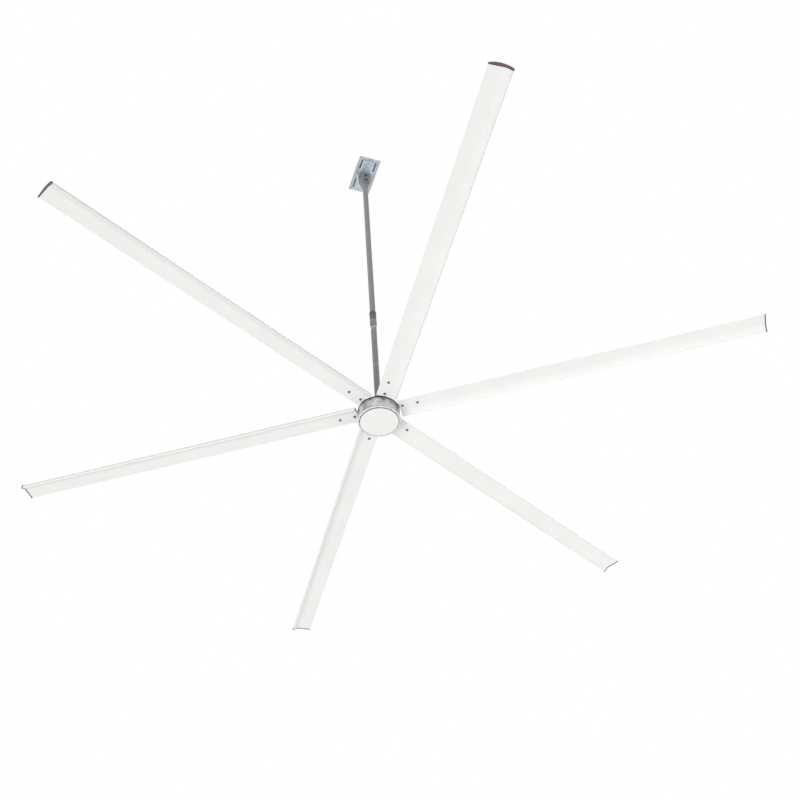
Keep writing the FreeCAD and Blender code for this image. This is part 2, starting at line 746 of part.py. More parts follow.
def make_trim_ring():
    inner = dim.drum_radius - dim.drum_wall
    outer = dim.drum_radius + dim.trim_reach
    base = bottom_plate_base - dim.trim_height
    corners = [
        (inner, 0),
        (outer - dim.trim_bevel, 0),
        (outer, dim.trim_bevel),
        (outer, dim.trim_height),
        (inner, dim.trim_height),
    ]
    holes = []
    for angle in hub_screw_angles():
        shank_hole = upright(dim.screw_radius + dim.fit, dim.trim_height, screw_circle, base, angle)
        head_hole = upright(dim.screw_head_radius + dim.fit, dim.screw_head_height,
                            screw_circle, base, angle)
        holes.append(fuse([shank_hole, head_hole]))
    node(cut(turned(corners, base), holes), "trim_ring")


def make_plate_screws():
    """Round-headed screws: on the hub's top, and sunk in the trim ring below."""
    upper_length = dim.top_plate_thickness + dim.screw_grip
    lower_length = dim.trim_height - dim.screw_head_height + dim.bottom_plate_thickness + dim.screw_grip
    lower_z = bottom_plate_base - dim.trim_height + dim.screw_head_height
    screws = []
    for angle in hub_screw_angles():
        for length, z, turn in ((upper_length, -dim.hub_drop, None), (lower_length, lower_z, HEAD_DOWN)):
            screw = fuse([cylinder(dim.screw_head_radius, dim.screw_head_height),
                          cylinder(dim.screw_radius, length, z=-length)])
            screw.Placement = about_z(angle) * spot(screw_circle, 0, z, turn)
            screws.append(screw)
    node(group(screws), "plate_screws")


def make_shaft_seal():
    bore = dim.shaft_radius + dim.seal_play
    seal = tube(bore + dim.seal_wall + dim.housing_step, bore, dim.seal_height, -dim.hub_drop)
    node(seal, "shaft_seal")


def make_bottom_cover():
    outer = dim.drum_radius - dim.drum_wall - dim.cover_gap
    inner = outer - dim.cover_thickness
    base = bottom_plate_base - dim.cover_depth
    corners = [
        (0, 0),
        (outer - dim.cover_bevel, 0),
        (outer, dim.cover_bevel),
        (outer, dim.cover_rim),
        (inner, dim.cover_rim),
        (inner, dim.cover_thickness + dim.cover_bevel),
        (inner - dim.cover_bevel, dim.cover_thickness),
        (0, dim.cover_thickness),
    ]
    node(turned(corners, base), "bottom_cover")
    post_length = dim.cover_depth - dim.cover_thickness
    posts = [upright(dim.post_radius, post_length, dim.post_circle, base + dim.cover_thickness,
                          360 * index / dim.post_count.value) for index in range(round(dim.post_count.value))]
    node(group(posts), "cover_posts")


# Blades and their arms, drawn along +X and then turned to their places
arm_middle = dim.arm_thickness / 2 - dim.hub_drop
underside = -dim.arm_thickness / 2 - dim.fit - dim.skin


def arm_place(angle):
    return about_z(angle) * spot(z=arm_middle)


def blade_place(angle):
    return arm_place(angle) * Placement(Vec(), Turn(Vec(1, 0, 0), -dim.blade_pitch.value))


def blade_bolt_distances():
    return (dim.blade_bolt_inner, dim.blade_bolt_outer)


def make_arm(label, angle):
    half_width = dim.arm_width / 2
    twist_start = dim.drum_radius + dim.arm_clear
    half = dim.arm_thickness / 2
    foot = box(dim.blade_root - dim.root_gap - dim.arm_start, dim.arm_width, dim.arm_thickness,
               dim.arm_start, -half_width, -half)
    bar = box(dim.arm_reach - twist_start, dim.arm_width, dim.arm_thickness, twist_start, -half_width, -half)
    tongue = cut(bar, [cylinder(dim.blade_bolt_radius + dim.fit, dim.arm_thickness, x, 0, -half)
                       for x in blade_bolt_distances()])
    tongue.Placement = Placement(Vec(), Turn(Vec(1, 0, 0), -dim.blade_pitch.value))
    holes = [cylinder(dim.arm_bolt_radius + dim.fit, dim.arm_thickness, x, 0, -half)
             for x in (dim.arm_bolt_inner, dim.arm_bolt_outer)]
    arm = fuse([cut(foot, holes), tongue])
    arm.Placement = arm_place(angle)
    node(arm, label)


# Share of the tail's droop that is reached halfway along the bent part
EDGE_BEND = 0.28


def section_points(grow):
    """Corner points (y, z) of the blade section, grown all round for a tip cap."""
    low = underside.value - grow
    thin = dim.thin_radius.value + grow
    start = -dim.thin_reach.value - grow
    end = dim.blunt_reach.value + grow
    corner = end - dim.blunt_bulge.value
    flat = dim.flat_reach.value
    blunt_low = low - dim.blunt_droop.value
    height = dim.blunt_height.value + grow * 2
    return {
        "thin_low": (start + thin, low),
        "thin": (start, low + thin),
        "thin_high": (start + thin, low + thin * 2),
        "crown": (dim.crown_offset.value, low + dim.blade_depth.value + grow * 2),
        "blunt_high": (corner, blunt_low + height),
        "blunt": (end, blunt_low + height / 2),
        "blunt_low": (corner, blunt_low),
        "bend": ((flat + corner) / 2, low - dim.blunt_droop.value * EDGE_BEND),
        "flat_end": (flat, low),
    }


def blade_outline(grow, x):
    at = {name: Vec(x, y, z) for name, (y, z) in section_points(grow).items()}
    edges = [
        Part.LineSegment(at["thin_low"], at["flat_end"]).toShape(),
        Part.Arc(at["flat_end"], at["bend"], at["blunt_low"]).toShape(),
        Part.Arc(at["blunt_low"], at["blunt"], at["blunt_high"]).toShape(),
        Part.Arc(at["blunt_high"], at["crown"], at["thin_high"]).toShape(),
        Part.Arc(at["thin_high"], at["thin"], at["thin_low"]).toShape(),
    ]
    return Part.Wire(edges)


def cell_outline(start, end, x, clear=0):
    """Hollow of the blade between two webs, one skin inside the upper and lower faces."""
    at = {name: Vec(0, y, z) for name, (y, z) in section_points(0).items()}
    arch = Part.Arc(at["blunt_high"], at["crown"], at["thin_high"]).toShape().Curve
    bend = Part.Arc(at["flat_end"], at["bend"], at["blunt_low"]).toShape().Curve
    wall = dim.skin.value + clear
    level = underside.value + wall

    def on_circle(circle, radius, y):
        return Vec(x, y, circle.Center.z + math.sqrt(radius ** 2 - (y - circle.Center.y) ** 2))

    def roof(y):
        return on_circle(arch, arch.Radius - wall, y)

    left = start + clear
    right = end - clear
    flat = min(right, dim.flat_reach.value)
    corner = Vec(x, flat, level)
    edges = [Part.LineSegment(Vec(x, left, level), corner).toShape()]
    if right > flat:
        outer = bend.Radius + wall
        middle = on_circle(bend, outer, (flat + right) / 2)
        edges.append(Part.Arc(corner, middle, on_circle(bend, outer, right)).toShape())
        corner = on_circle(bend, outer, right)
    edges += [
        Part.LineSegment(corner, roof(right)).toShape(),
        Part.Arc(roof(right), roof((left + right) / 2), roof(left)).toShape(),
        Part.LineSegment(roof(left), Vec(x, left, level)).toShape(),
    ]
    return Part.Wire(edges)


def arm_cell():
    half = dim.arm_width.value / 2 + dim.arm_side_play.value
    return (-half, half)


def blade_cells():
    start, end = arm_cell()
    web = dim.skin.value
    thin_end = dim.thin_radius.value * 4 - dim.thin_reach.value
    return [(thin_end, start - web), (start, end), (end + web, dim.blunt_cell_reach.value)]


def extruded(outlines, length):
    """Straight extrusion along X of an outline with its hollows."""
    section = doc.addObject("Part::Feature", "Section")
    section.Shape = Part.makeFace(outlines, "Part::FaceMakerBullseye")
    bar = doc.addObject("Part::Extrusion", "Extrusion")
    bar.Base = section
    bar.DirMode = "Custom"
    bar.Dir = Vec(1, 0, 0)
    bar.Solid = True
    bind(bar, LengthFwd=length)
    return bar


def make_blade(label, angle):
    root = dim.blade_root.value
    outlines = [blade_outline(0, root)]
    outlines += [cell_outline(start, end, root) for start, end in blade_cells()]
    bar = extruded(outlines, dim.blade_tip - dim.cap_thickness - dim.blade_root)
    holes = [cylinder(dim.blade_bolt_radius + dim.fit, dim.skin * 2, x, 0, underside - dim.skin / 2)
             for x in blade_bolt_distances()]
    blade = cut(bar, holes)
    blade.Placement = blade_place(angle)
    node(blade, label)


def make_tip_cap(label, angle):
    inner = (dim.blade_tip - dim.cap_thickness).value
    plate = extruded([blade_outline(dim.cap_proud.value, inner)], dim.cap_thickness)
    plug_start = inner - dim.cap_plug.value
    start, end = arm_cell()
    plug = extruded([cell_outline(start, end, plug_start, dim.fit.value)],
                    dim.cap_plug + dim.cap_thickness / 2)
    cap = fuse([plate, plug])
    cap.Placement = blade_place(angle)
    node(cap, label)


def make_blade_fasteners():
    bolts = []
    nuts = []
    arm_bolts = []
    grip = dim.skin + dim.fit + dim.arm_thickness + dim.blade_nut_height + dim.blade_thread_over
    arm_grip = dim.arm_thickness + dim.top_plate_thickness
    for angle in blade_angles():
        for x in blade_bolt_distances():
            bolts.append(bolt(dim.blade_bolt_radius, dim.blade_head_radius, dim.blade_head_height, grip,
                              blade_place(angle) * spot(x, 0, underside, HEAD_DOWN)))
            nuts.append(nut(dim.blade_bolt_radius + dim.fit, dim.blade_head_radius, dim.blade_nut_height,
                            blade_place(angle) * spot(x, 0, dim.arm_thickness / 2)))
        for x in (dim.arm_bolt_inner, dim.arm_bolt_outer):
            arm_bolts.append(bolt(dim.arm_bolt_radius, dim.arm_head_radius, dim.arm_head_height, arm_grip,
                                  arm_place(angle) * spot(x, 0, dim.arm_thickness / 2)))
    node(group(bolts), "blade_bolts")
    node(group(nuts), "blade_nuts")
    node(group(arm_bolts), "arm_bolts")


make_mount_plate()
make_fork_cheeks()
make_fork_fasteners("pivot", -dim.pivot_drop, as_size(0))
make_fork_fasteners("lock", -dim.pivot_drop - dim.lock_spacing, dim.slide_gap)
make_hanger_block()
make_rods()
make_coupling()
make_rod_flange()
make_cable_gland()
make_motor_shaft()
make_stator()
make_bearing("upper_bearing", upper_bearing_base)
make_bearing("lower_bearing", lower_bearing_base)
make_top_plate()
make_drum()
make_bottom_plate()
make_trim_ring()
make_plate_screws()
make_shaft_seal()
make_bottom_cover()
for number, blade_angle in enumerate(blade_angles(), 1):
    make_arm(f"blade_arm_{number}", blade_angle)
    make_blade(f"blade_{number}", blade_angle)
    make_tip_cap(f"tip_cap_{number}", blade_angle)
make_blade_fasteners()

doc.recompute()
failed = [item.Label for item in doc.Objects if {"Invalid", "Error"} & set(item.State)]
if failed:
    raise RuntimeError(f"these objects failed: {failed}")
for piece in nodes:
    if piece.Shape.isNull() or not piece.Shape.isValid() or not piece.Shape.Solids:
        raise RuntimeError(f"{piece.Label} has no valid solid")

os.makedirs("parts", exist_ok=True)
for piece in nodes:
    piece.Shape.exportStep(f"parts/{piece.Label}.step")
    print(piece.Label, len(piece.Shape.Solids), "solids", round(piece.Shape.Volume / 1000), "cm3")
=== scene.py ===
import math

import bmesh
import bpy
from mathutils import Matrix, Vector, noise
from mathutils.geometry import tessellate_polygon


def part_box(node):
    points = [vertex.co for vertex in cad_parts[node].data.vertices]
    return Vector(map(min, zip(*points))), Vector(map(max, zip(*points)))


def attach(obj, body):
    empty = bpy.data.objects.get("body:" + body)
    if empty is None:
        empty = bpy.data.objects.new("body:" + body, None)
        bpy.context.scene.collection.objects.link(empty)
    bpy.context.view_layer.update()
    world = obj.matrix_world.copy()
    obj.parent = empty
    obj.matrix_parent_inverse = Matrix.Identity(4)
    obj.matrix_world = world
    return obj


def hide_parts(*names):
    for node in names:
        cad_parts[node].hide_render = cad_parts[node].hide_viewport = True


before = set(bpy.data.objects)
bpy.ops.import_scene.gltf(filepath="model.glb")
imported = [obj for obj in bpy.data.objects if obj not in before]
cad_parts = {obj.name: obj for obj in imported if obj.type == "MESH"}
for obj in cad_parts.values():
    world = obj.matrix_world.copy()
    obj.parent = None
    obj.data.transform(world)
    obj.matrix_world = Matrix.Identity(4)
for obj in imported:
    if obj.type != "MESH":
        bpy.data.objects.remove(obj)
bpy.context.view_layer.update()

bl_info = {
    "name": "Large ceiling fan",
    "version": (1, 0, 0),
    "blender": (4, 5, 0),
    "location": "3D View > Sidebar > Ceiling fan",
    "description": "Dresses the packed ceiling fan with modelled pieces, finishes and a studio",
    "category": "Object",
}

MM = 0.001
HUB_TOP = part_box("rotor_top_plate")[1].z
HUB_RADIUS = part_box("rotor_top_plate")[1].x
DRUM_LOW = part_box("rotor_drum")[0].z
DRUM_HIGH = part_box("rotor_drum")[1].z
TRIM_LOW, TRIM_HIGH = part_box("trim_ring")
COVER_LOW, COVER_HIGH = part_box("bottom_cover")
ROD_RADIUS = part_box("upper_rod")[1].x
COUPLING_LOW, COUPLING_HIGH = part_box("rod_coupling")
ROD_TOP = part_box("upper_rod")[1].z
NECK_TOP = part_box("neck_tube")[1].z
COLLAR_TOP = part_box("rod_flange")[1].z
RAIL_WIDTH = 34 * MM
RAIL_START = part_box("mount_plate")[1].y - RAIL_WIDTH
DRUM_WALL = 12 * MM
BLADES = sum(name.startswith("tip_cap_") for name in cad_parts)
# Points closer together than this are one
TINY = 0.001 * MM
# Share of the blunt edge's droop reached halfway along the bent part, and close fits, as in the solids
EDGE_BEND = 0.28
CLOSE_FIT = 0.05 * MM
ARM_PLAY = 0.5 * MM
# Weld beads: radius and length of a scale against the leg, beat of the scales, and sides of the bead
BEAD_RADIUS = 0.55
BEAD_SCALE = 0.35
BEAD_BEAT = 0.66 * math.pi
BEAD_SIDES = 8
# Sides of round pieces on the hub and on the rod
HUB_SIDES = 128
ROD_SIDES = 64


def linear(hex_colour):
    """An sRGB hex colour as linear red, green and blue."""
    channels = [int(hex_colour[index:index + 2], 16) / 255 for index in (1, 3, 5)]
    return tuple(c / 12.92 if c <= 0.04045 else ((c + 0.055) / 1.055) ** 2.4 for c in channels)


def length(name, description, default):
    return bpy.props.FloatProperty(name=name, description=description, default=default,
                                   unit="LENGTH", min=0.0)


def angle(name, description, default):
    return bpy.props.FloatProperty(name=name, description=description, default=math.radians(default),
                                   unit="ROTATION", subtype="ANGLE")


def colour(name, description, hex_colour):
    return bpy.props.FloatVectorProperty(name=name, description=description, subtype="COLOR", size=3,
                                         min=0.0, max=1.0, default=linear(hex_colour))


class FanShape(bpy.types.PropertyGroup):
    """Sizes of the fan's modelled pieces."""

    blade_start: angle("First blade", "Angle of the first blade about the rod", -4)
    blade_pitch: angle("Pitch", "Twist of the blades about their arms", -2)
    blade_root: length("Blade root", "Inner end of the blades", 205 * MM)
    blade_tip: length("Blade tip", "Outer end of the tip caps", 3650 * MM)
    thin_reach: length("Thin reach", "Blade section from the arm's axis to its thin edge", 74 * MM)
    blunt_reach: length("Blunt reach", "Blade section from the arm's axis to its blunt edge", 124 * MM)
    blade_depth: length("Blade depth", "Blade section at its crown", 38 * MM)
    crown_offset: length("Crown", "Crown from the arm's axis towards the blunt edge", 36 * MM)
    thin_radius: length("Thin radius", "Rounded thin edge", 3.5 * MM)
    flat_reach: length("Flat underside", "Flat underside, from the arm's axis to the bend", 44 * MM)
    blunt_droop: length("Blunt droop", "Blunt edge below the flat underside", 34 * MM)
    blunt_height: length("Blunt height", "Height of the blunt edge", 36 * MM)
    blunt_bulge: length("Blunt bulge", "Rounding of the blunt edge outwards", 13 * MM)
    blunt_cell_reach: length("Blunt hollow", "End of the hollow by a blade's blunt edge", 108 * MM)
    skin: length("Skin", "Wall of the blades", 2 * MM)
    arm_thickness: length("Arm thickness", "Thickness of the blade arms", 12 * MM)
    arm_width: length("Arm width", "Width of the blade arms", 56 * MM)
    cap_thickness: length("Cap thickness", "Thickness of the tip caps", 10 * MM)
    cap_proud: length("Cap proud", "Tip caps beyond the blade section", 4 * MM)
    cap_round: length("Cap edge", "Rounding of the tip caps' outer edge", 3.5 * MM)
    bolt_inner: length("Inner bolt", "Inner blade bolts from the axis", 237 * MM)
    bolt_outer: length("Outer bolt", "Outer blade bolts from the axis", 383 * MM)
    screw_lean: angle("Screw lean", "Hub screws, to either side of halfway between two arms", 10)
    bolt_flange: length("Bolt flange", "Radius of the flange under a blade bolt's head", 12.5 * MM)
    edge_round: length("Edge rounding", "Rounding of turned and pressed edges", 1.5 * MM)
    weld_size: length("Weld size", "Leg of the weld beads", 7 * MM)
    band_height: length("Coupling band", "Dark band at the top of the coupling", 44 * MM)
    sleeve_height: length("Coupling sleeve", "Mauve part of the coupling, with its band", 118 * MM)
    strap_drop: length("Strap drop", "Strap on the rod below the coupling's middle", 160 * MM)
    strap_width: length("Strap width", "Strap on the rod", 13 * MM)
    strap_lean: angle("Strap lean", "Strap against a level ring", 40)
    strap_side: angle("Strap side", "Side on which the strap is highest", 68)
    slot_length: length("Slot length", "Slots of the ceiling plate", 126 * MM)
    slot_width: length("Slot width", "Slots of the ceiling plate", 18 * MM)
    slot_along: length("Slot along", "Slots from the middle, along the plate", 135 * MM)
    slot_across: length("Slot across", "Slots from the middle, across the plate", 83 * MM)


class FanFinish(bpy.types.PropertyGroup):
    """Colours of the fan's finishes."""

    powder_white: colour("White coat", "Powder coat of the blades and the cover", "#f6f6f4")
    plum: colour("Plum", "Moulded tip caps", "#6d4656")
    rod_grey: colour("Rod grey", "Enamel of the upper rod", "#969699")
    # painted shade: a darker copy of the rod's enamel, for the lower rod, the neck and the coupling's collar
    neck_grey: colour("Neck grey", "Enamel of the lower rod and the neck", "#8f8f91")
    coupling_red: colour("Coupling red", "Enamel of the coupling sleeve", "#7a5f69")
    band_red: colour("Band red", "Enamel of the coupling's top band", "#5c5054")
    fork_grey: colour("Fork grey", "Enamel of the fork's cheeks and the hanger", "#8d8c96")
    zinc_blue: colour("Galvanising", "Zinc of the ceiling plate", "#c0d0de")
    rail_zinc: colour("Rail zinc", "Dull zinc on the ceiling plate's rails", "#c4c1c7")
    bare_aluminium: colour("Aluminium", "Turned drum", "#d0d1d3")
    pale_aluminium: colour("Pale aluminium", "Satin trim ring", "#ebebe9")
    dark_coat: colour("Dark coat", "Coated castings of the hub", "#39393b")


# Nodes and materials

def add(tree, kind, settings=(), **inputs):
    """Add a shader node, set its properties, and fill or link its inputs by name."""
    item = tree.nodes.new(kind)
    for key, value in dict(settings).items():
        setattr(item, key, value)
    for key, value in inputs.items():
        socket = item.inputs[int(key[1:])] if key[0] == "i" and key[1:].isdigit() else item.inputs[key]
        if isinstance(value, bpy.types.NodeSocket):
            tree.links.new(value, socket)
        elif socket.type == "RGBA" and len(value) == 3:
            socket.default_value = (*value, 1.0)
        else:
            socket.default_value = value
    return item


def blank(name, **constants):
    """Start a material with constants on its shader's sockets; gives its tree, shader and object places."""
    material = bpy.data.materials.new(name)
    material.use_nodes = True
    tree = material.node_tree
    shader = tree.nodes["Principled BSDF"]
    for key, value in constants.items():
        socket = shader.inputs[key.replace("_", " ")]
        socket.default_value = (*value, 1.0) if socket.type == "RGBA" else value
    return tree, shader, add(tree, "ShaderNodeTexCoord").outputs["Object"]


def tone(key):
    """A colour of the fan's finishes by its name, or an sRGB hex colour, as linear red, green and blue."""
    return linear(key) if key.startswith("#") else tuple(getattr(bpy.context.scene.fan_finish, key))


def shade(rgb, factor):
    """A colour made darker or paler by a factor."""
    return tuple(min(1.0, channel * factor) for channel in rgb)


def per_metre(millimetres):
    """Pattern scale whose feature is this many millimetres in size."""
    return 1.0 / (millimetres * MM)


def cloud(tree, spot, size_mm, detail):
    """Noise in patches of this size."""
    patches = add(tree, "ShaderNodeTexNoise", Vector=spot, Scale=per_metre(size_mm), Detail=detail)
    return patches.outputs["Fac"]


def streaks(tree, spot, level_mm, upright_mm, detail):
    """Noise drawn out to these sizes in the level directions and upright."""
    scale = (per_metre(level_mm), per_metre(level_mm), per_metre(upright_mm))
    stretch = add(tree, "ShaderNodeMapping", Vector=spot, Scale=scale).outputs["Vector"]
    return add(tree, "ShaderNodeTexNoise", Vector=stretch, Scale=1.0, Detail=detail).outputs["Fac"]


def ribs(tree, spot, size_mm):
    """Level ribs this far apart; the wave node draws ten of them in pi units."""
    scale = per_metre(size_mm) * math.pi / 10
    return add(tree, "ShaderNodeTexWave", {"bands_direction": "Z"}, Vector=spot, Scale=scale).outputs["Fac"]


def tint(tree, shader, pattern, dark, light, start=0.3, end=0.7):
    """Colour the shader between two tones by a pattern."""
    ramp = add(tree, "ShaderNodeMapRange", Value=pattern, i1=start, i2=end)
    mix = add(tree, "ShaderNodeMix", {"data_type": "RGBA"}, Factor=ramp.outputs["Result"],
              i6=dark, i7=light)
    tree.links.new(mix.outputs[2], shader.inputs["Base Color"])
    return mix.outputs[2]


def roughen(tree, shader, pattern, smooth, rough):
    """Roughness between two values by a pattern."""
    ramp = add(tree, "ShaderNodeMapRange", Value=pattern, i1=0.25, i2=0.75, i3=smooth, i4=rough)
    tree.links.new(ramp.outputs["Result"], shader.inputs["Roughness"])


def emboss(tree, shader, pattern, depth_mm, strength):
    """Relief of this depth by a pattern."""
    bump = add(tree, "ShaderNodeBump", Height=pattern, Strength=strength, Distance=depth_mm * MM)
    tree.links.new(bump.outputs["Normal"], shader.inputs["Normal"])


def seen(tree):
    """One for rays that meet the eye, also by a mirror or through glass, and nought for light on the fan."""
    path = add(tree, "ShaderNodeLightPath")
    shiny = add(tree, "ShaderNodeMath", {"operation": "MAXIMUM"}, i0=path.outputs["Is Glossy Ray"],
                i1=path.outputs["Is Transmission Ray"])
    either = add(tree, "ShaderNodeMath", {"operation": "MAXIMUM"}, i0=path.outputs["Is Camera Ray"],
                 i1=shiny.outputs["Value"])
    return either.outputs["Value"]


def powder_coated_aluminium(name):
    """Sprayed and baked polyester powder: a soft satin white with orange peel and a little dust."""
    white = tone("powder_white")
    tree, shader, spot = blank(name, Metallic=0.0, IOR=1.5, Specular_IOR_Level=0.4)
    # dust lies in patches about 300 mm across
    dust = cloud(tree, spot, 300, 4.0)
    tint(tree, shader, dust, shade(white, 0.965), white)
    roughen(tree, shader, dust, 0.38, 0.5)
    # real orange peel is about 2 mm; drawn at 6 mm, so that it shows
    emboss(tree, shader, cloud(tree, spot, 6, 2.0), 0.15, 0.25)


def moulded_plum_nylon(name):
    """Injection-moulded nylon with a spark-eroded grain: matt, with a faint sheen on its rounded edges."""
    plum = tone("plum")
    tree, shader, spot = blank(name, Metallic=0.0, IOR=1.53, Specular_IOR_Level=0.4)
    # flow marks are about 60 mm across
    tint(tree, shader, cloud(tree, spot, 60, 3.0), shade(plum, 0.72), shade(plum, 1.12))
    # spark grain of about 1 mm, drawn at 3 mm
    grain = cloud(tree, spot, 3, 2.0)
    roughen(tree, shader, grain, 0.45, 0.62)
    emboss(tree, shader, grain, 0.2, 0.3)


def satin_enamel(name, key, worn):
    """Brushed-on satin enamel over steel: faint runs along a tube and slightly paler rubbed patches."""
    rgb = tone(key)
    tree, shader, spot = blank(name, Metallic=0.0, IOR=1.5, Specular_IOR_Level=0.5)
    # runs are 12 mm wide and about 400 mm long
    runs = streaks(tree, spot, 12, 400, 4.0)
    tint(tree, shader, runs, shade(rgb, 0.86), shade(rgb, worn))
    roughen(tree, shader, runs, 0.36, 0.5)
    # orange peel of about 2 mm, drawn at 5 mm
    emboss(tree, shader, cloud(tree, spot, 5, 2.0), 0.12, 0.25)


def hot_dip_galvanised_steel(name):
    """Zinc frozen in flat crystals: bluish spangles of several tones with softly differing gloss."""
    zinc = tone("zinc_blue")
    tree, shader, spot = blank(name, Metallic=0.55)
    # spangles of 10 to 20 mm, with ragged borders
    warp = add(tree, "ShaderNodeTexNoise", Vector=spot, Scale=per_metre(25), Detail=2.0)
    raggedness = 0.012
    bent = add(tree, "ShaderNodeMix", {"data_type": "VECTOR"}, Factor=raggedness, i4=spot,
               i5=warp.outputs["Color"])
    spangle = add(tree, "ShaderNodeTexVoronoi", Vector=bent.outputs[1], Scale=per_metre(16))
    facet = add(tree, "ShaderNodeSeparateColor", Color=spangle.outputs["Color"])
    crystals = tint(tree, shader, facet.outputs["Red"], shade(zinc, 0.8), shade(zinc, 1.2), 0.0, 1.0)
    # the folded rails along the plate's long edges carry a duller, warmer zinc
    place = add(tree, "ShaderNodeSeparateXYZ", Vector=spot)
    aside = add(tree, "ShaderNodeMath", {"operation": "ABSOLUTE"}, i0=place.outputs["Y"])
    rail = add(tree, "ShaderNodeMath", {"operation": "GREATER_THAN"}, i0=aside.outputs["Value"],
               i1=RAIL_START)
    mix = add(tree, "ShaderNodeMix", {"data_type": "RGBA"}, Factor=rail.outputs["Value"], i6=crystals,
              i7=tone("rail_zinc"))
    tree.links.new(mix.outputs[2], shader.inputs["Base Color"])
    roughen(tree, shader, facet.outputs["Green"], 0.35, 0.55)
    emboss(tree, shader, spangle.outputs["Distance"], 0.1, 0.2)


def turned_aluminium(name, key):
    """Lathe-turned aluminium: fine rings of tool marks round the axis, drawn into a soft band of light, and
    darker patches painted as reflections of dark surroundings.
    """
    metal = tone(key)
    tree, shader, spot = blank(name, Metallic=0.85, Anisotropic=0.4)
    # tool marks are 0.3 mm apart; drawn 4 mm apart and 150 mm long round the drum, so that they show
    marks = streaks(tree, spot, 150, 4, 5.0)
    # painted reflections: dark patches about 120 mm across that stand in for dark surroundings mirrored in
    # the drum
    painted_reflection_patches = add(tree, "ShaderNodeTexNoise", {"noise_dimensions": "4D"}, Vector=spot, W=6.0,
                 Scale=per_metre(120), Detail=3.0)
    marks_and_painted_reflections = add(tree, "ShaderNodeMath", {"operation": "ADD"}, i0=marks, i1=painted_reflection_patches.outputs["Fac"])
    # the drum is darker where the tool marks and the painted reflection patches run low
    tint(tree, shader, marks_and_painted_reflections.outputs["Value"], shade(metal, 0.25), shade(metal, 1.1), 0.82, 1.1)
    roughen(tree, shader, marks, 0.24, 0.42)
    emboss(tree, shader, marks, 0.1, 0.15)


def rough_coated_casting(name, key):
    """Sand-cast aluminium under a dark coat: pebbled skin, dull, slightly rubbed on high spots."""
    rgb = tone(key)
    tree, shader, spot = blank(name, Metallic=0.2, IOR=1.5)
    # sand grain of about 2 mm, drawn at 4 mm
    sand = cloud(tree, spot, 4, 4.0)
    tint(tree, shader, sand, shade(rgb, 0.7), shade(rgb, 1.25))
    roughen(tree, shader, sand, 0.5, 0.75)
    emboss(tree, shader, sand, 0.4, 0.4)


def phosphated_bolt_steel(name):
    """Phosphated steel: a dull dark-grey crystal coat with paler, rubbed corners."""
    tree, shader, spot = blank(name, Metallic=0.4)
    # rubbed spots are about 6 mm across
    rub = cloud(tree, spot, 6, 4.0)
    tint(tree, shader, rub, tone("#64646a"), tone("#827f7b"), 0.45, 0.85)
    roughen(tree, shader, rub, 0.45, 0.6)


def plated_steel(name, dark, light, stain_mm):
    """Electroplated or ground steel: thin bright metal with faint cloudy staining."""
    tree, shader, spot = blank(name, Metallic=0.9)
    stain = cloud(tree, spot, stain_mm, 4.0)
    tint(tree, shader, stain, tone(dark), tone(light))
    roughen(tree, shader, stain, 0.25, 0.42)


def stacked_laminations(name):
    """Stamped electrical steel in a stack: hair lines between the sheets and a blue-grey oxide."""
    tree, shader, spot = blank(name, Metallic=0.6)
    # sheets are 0.5 mm thick; drawn 3 mm apart
    sheets = ribs(tree, spot, 3)
    tint(tree, shader, sheets, tone("#44474c"), tone("#7d8087"), 0.0, 1.0)
    roughen(tree, shader, sheets, 0.4, 0.6)
    emboss(tree, shader, sheets, 0.2, 0.4)


def enamelled_copper_wire(name):
    """Turns of enamelled wire laid side by side: amber copper with a glossy varnish."""
    tree, shader, spot = blank(name, Metallic=0.7, Coat_Weight=0.6, Coat_Roughness=0.15)
    # wire of 1.2 mm, drawn at 3 mm
    turns = ribs(tree, spot, 3)
    tint(tree, shader, turns, tone("#6e3a1c"), tone("#b8703c"), 0.0, 1.0)
    roughen(tree, shader, turns, 0.25, 0.4)
    emboss(tree, shader, turns, 0.6, 0.6)


def moulded_black(name, key, smooth, rough):
    """Moulded black rubber or nylon: matt, with a faint bloom."""
    rgb = tone(key)
    tree, shader, spot = blank(name, Metallic=0.0, IOR=1.5, Specular_IOR_Level=0.35)
    # bloom lies in patches of about 20 mm
    bloom = cloud(tree, spot, 20, 4.0)
    tint(tree, shader, bloom, rgb, shade(rgb, 1.8))
    roughen(tree, shader, bloom, smooth, rough)


def woven_strap(name):
    """Woven nylon strap: plain weave that breaks the white into small ribs."""
    tree, shader, spot = blank(name, Metallic=0.0, IOR=1.53, Specular_IOR_Level=0.3)
    # ribs of 1 mm, drawn at 3 mm
    weave = ribs(tree, spot, 3)
    tint(tree, shader, weave, tone("#dededa"), tone("#f4f4f0"), 0.0, 1.0)
    roughen(tree, shader, weave, 0.6, 0.75)
    emboss(tree, shader, weave, 0.4, 0.4)


